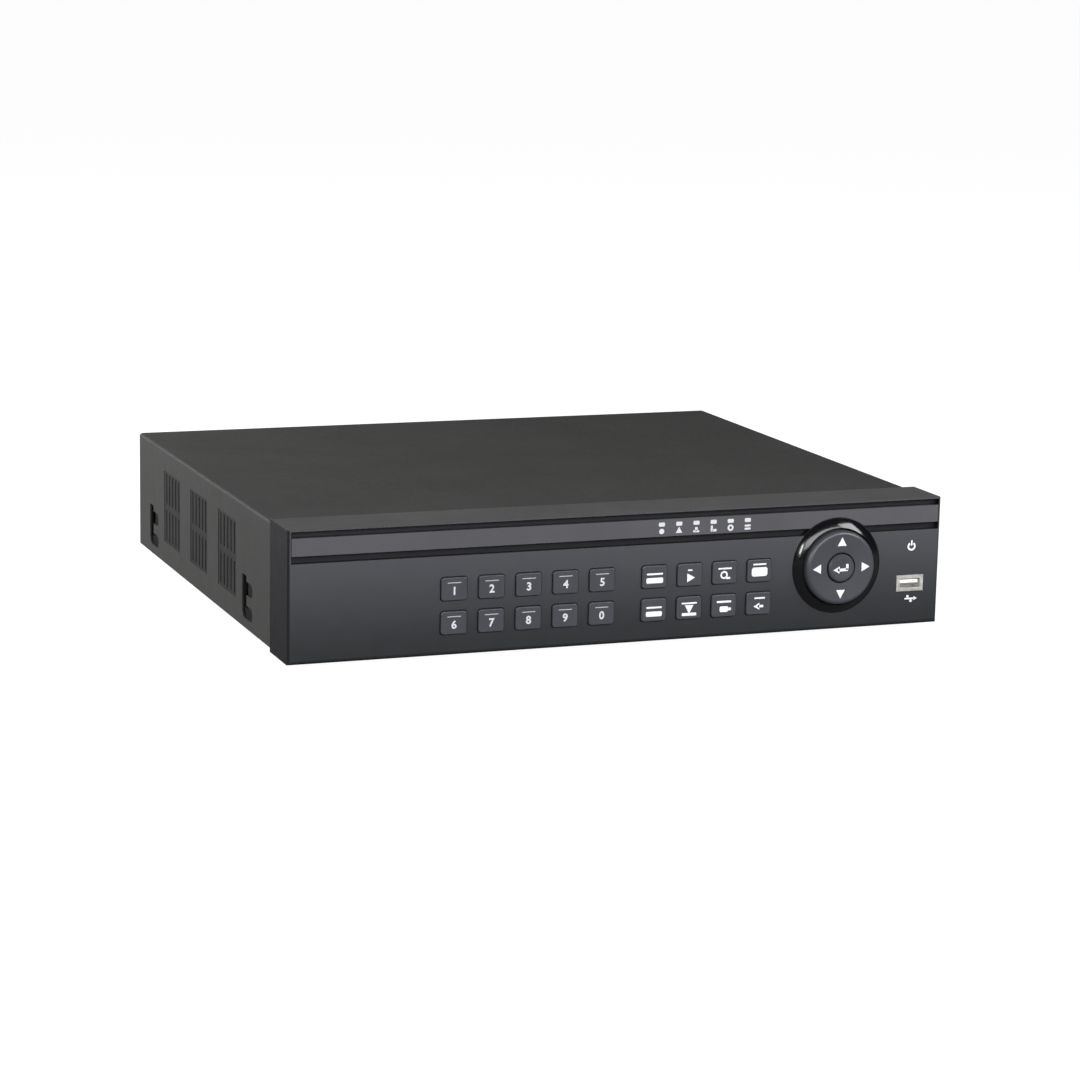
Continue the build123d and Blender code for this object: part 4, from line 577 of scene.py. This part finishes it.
AUDIO_RING = ring(4.17, 4.60)
AUDIO_RING_LENGTH = 2.4
AUDIO_RING_SET_BACK = 3.0 * MM
AUDIO_HALF_WIDTH = 5.5 * MM
AUDIO_TOP_DROP = 2.0 * MM
audio_low, audio_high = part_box("audio_jacks")
ring_y = audio_high.y - AUDIO_RING_SET_BACK
for index, x in enumerate((audio_low.x + AUDIO_HALF_WIDTH, audio_high.x - AUDIO_HALF_WIDTH)):
    for row, z in enumerate((row_heights[0], row_heights[1] - AUDIO_TOP_DROP)):
        colour = RING_RED if (index + row) % 2 else RING_WHITE
        name = f"audio_ring_{index * 2 + row + 1}"
        spot = Vector((x, ring_y, z))
        printed(name, AUDIO_RING, spot, colour, CASE, thickness=AUDIO_RING_LENGTH, facing=1)

# ---------------------------------------------------------------- camera, light and floor
back = Vector(
    (
        math.sin(VIEW_AZIMUTH) * math.cos(VIEW_ELEVATION),
        -math.cos(VIEW_AZIMUTH) * math.cos(VIEW_ELEVATION),
        math.sin(VIEW_ELEVATION),
    )
)
level_right = (-back).cross(Vector((0, 0, 1))).normalized()
level_up = level_right.cross(-back)
right = level_right * math.cos(VIEW_ROLL) + level_up * math.sin(VIEW_ROLL)
up = level_up * math.cos(VIEW_ROLL) - level_right * math.sin(VIEW_ROLL)
case_middle = Vector((0, BEZEL_LOW.y + HALF_DEPTH, BEZEL_LOW.z))
camera = bpy.data.objects.new("camera", bpy.data.cameras.new("camera"))
bpy.context.scene.collection.objects.link(camera)
camera.matrix_world = Matrix.Translation(
    case_middle + back * VIEW_DISTANCE + right * VIEW_SHIFT_RIGHT + up * VIEW_SHIFT_UP
) @ Matrix((right, up, back)).transposed().to_4x4()
camera.data.lens = VIEW_LENS
camera.data.sensor_width = SENSOR_WIDTH
bpy.context.scene.camera = camera


def softbox(name, place, aim, size, power):
    """A white rectangular lamp that shines at a point and isn't seen itself."""
    light = bpy.data.lights.new(name, "AREA")
    light.shape = "RECTANGLE"
    light.size, light.size_y = size
    light.energy = power
    lamp = bpy.data.objects.new(name, light)
    bpy.context.scene.collection.objects.link(lamp)
    lamp.location = place
    lamp.visible_camera = False
    lamp.rotation_euler = (Vector(aim) - Vector(place)).to_track_quat("-Z", "Y").to_euler()


softbox("key_light", (-2.2, -0.6, 0.8), (0, 0, 0.03), (1.2, 0.9), 32)
softbox("side_light", (-0.62, 0.5, 0.36), (-0.19, 0.1, 0.04), (0.3, 0.3), 5.8)
softbox("glint_light", (-0.67, -1.37, 0.445), (0.126, -0.17, 0.04), (0.14, 0.36), 7.0)
softbox("front_light", (0.2, -2.4, 0.9), (0, -0.1, 0.03), (2.2, 0.8), 58)
softbox("fill_light", (0.75, -0.8, 0.5), (0.15, -0.17, 0.04), (0.4, 0.4), 7.5)
softbox("top_light", (0.1, 0.6, 2.2), (0, 0.2, 0.05), (1.6, 1.2), 7)

# The room: pale to look at, dim near the horizon and brighter overhead as a light source.
world = bpy.data.worlds.new("studio")
bpy.context.scene.world = world
world.use_nodes = True
sky_nodes = world.node_tree.nodes
sky_links = world.node_tree.links
background = sky_nodes["Background"]
direction = sky_nodes.new("ShaderNodeTexCoord")
split = sky_nodes.new("ShaderNodeSeparateXYZ")
sky_links.new(direction.outputs["Generated"], split.inputs["Vector"])
rise = sky_nodes.new("ShaderNodeMapRange")
rise.interpolation_type = "SMOOTHSTEP"
rise.inputs["From Min"].default_value = RISE_START
rise.inputs["From Max"].default_value = RISE_END
rise.inputs["To Min"].default_value = ROOM_LOW
rise.inputs["To Max"].default_value = ROOM_HIGH
sky_links.new(split.outputs["Z"], rise.inputs["Value"])
seen = sky_nodes.new("ShaderNodeLightPath")
pale = sky_nodes.new("ShaderNodeMix")
sky_links.new(seen.outputs["Is Camera Ray"], pale.inputs["Factor"])
sky_links.new(rise.outputs["Result"], pale.inputs["A"])
pale.inputs["B"].default_value = 1.0
sky_links.new(pale.outputs["Result"], background.inputs["Strength"])

FLOOR_REACH = 40.0
floor_mesh = bpy.data.meshes.new("floor")
corners = [(x * FLOOR_REACH, y * FLOOR_REACH, 0) for x, y in ((-1, -1), (1, -1), (1, 1), (-1, 1))]
floor_mesh.from_pydata(corners, [], [(0, 1, 2, 3)])
floor = bpy.data.objects.new("floor", floor_mesh)
bpy.context.scene.collection.objects.link(floor)
floor_finish = finish_material(
    "pale_floor", (FLOOR_GREY,) * 3, 0.9, grain=300, depth=0.01, variation=0.01, specular=0.0
)
floor_shader = floor_finish.node_tree.nodes["Principled BSDF"]
floor_seen = floor_finish.node_tree.nodes.new("ShaderNodeLightPath")
floor_shader.inputs["Emission Color"].default_value = (1, 1, 1, 1)
lift = floor_finish.node_tree.nodes.new("ShaderNodeMath")
lift.operation = "MULTIPLY"
lift.inputs[1].default_value = FLOOR_LIFT
floor_finish.node_tree.links.new(floor_seen.outputs["Is Camera Ray"], lift.inputs[0])
floor_finish.node_tree.links.new(lift.outputs["Value"], floor_shader.inputs["Emission Strength"])
floor_mesh.materials.append(floor_finish)
bpy.context.scene.view_settings.view_transform = "Standard"
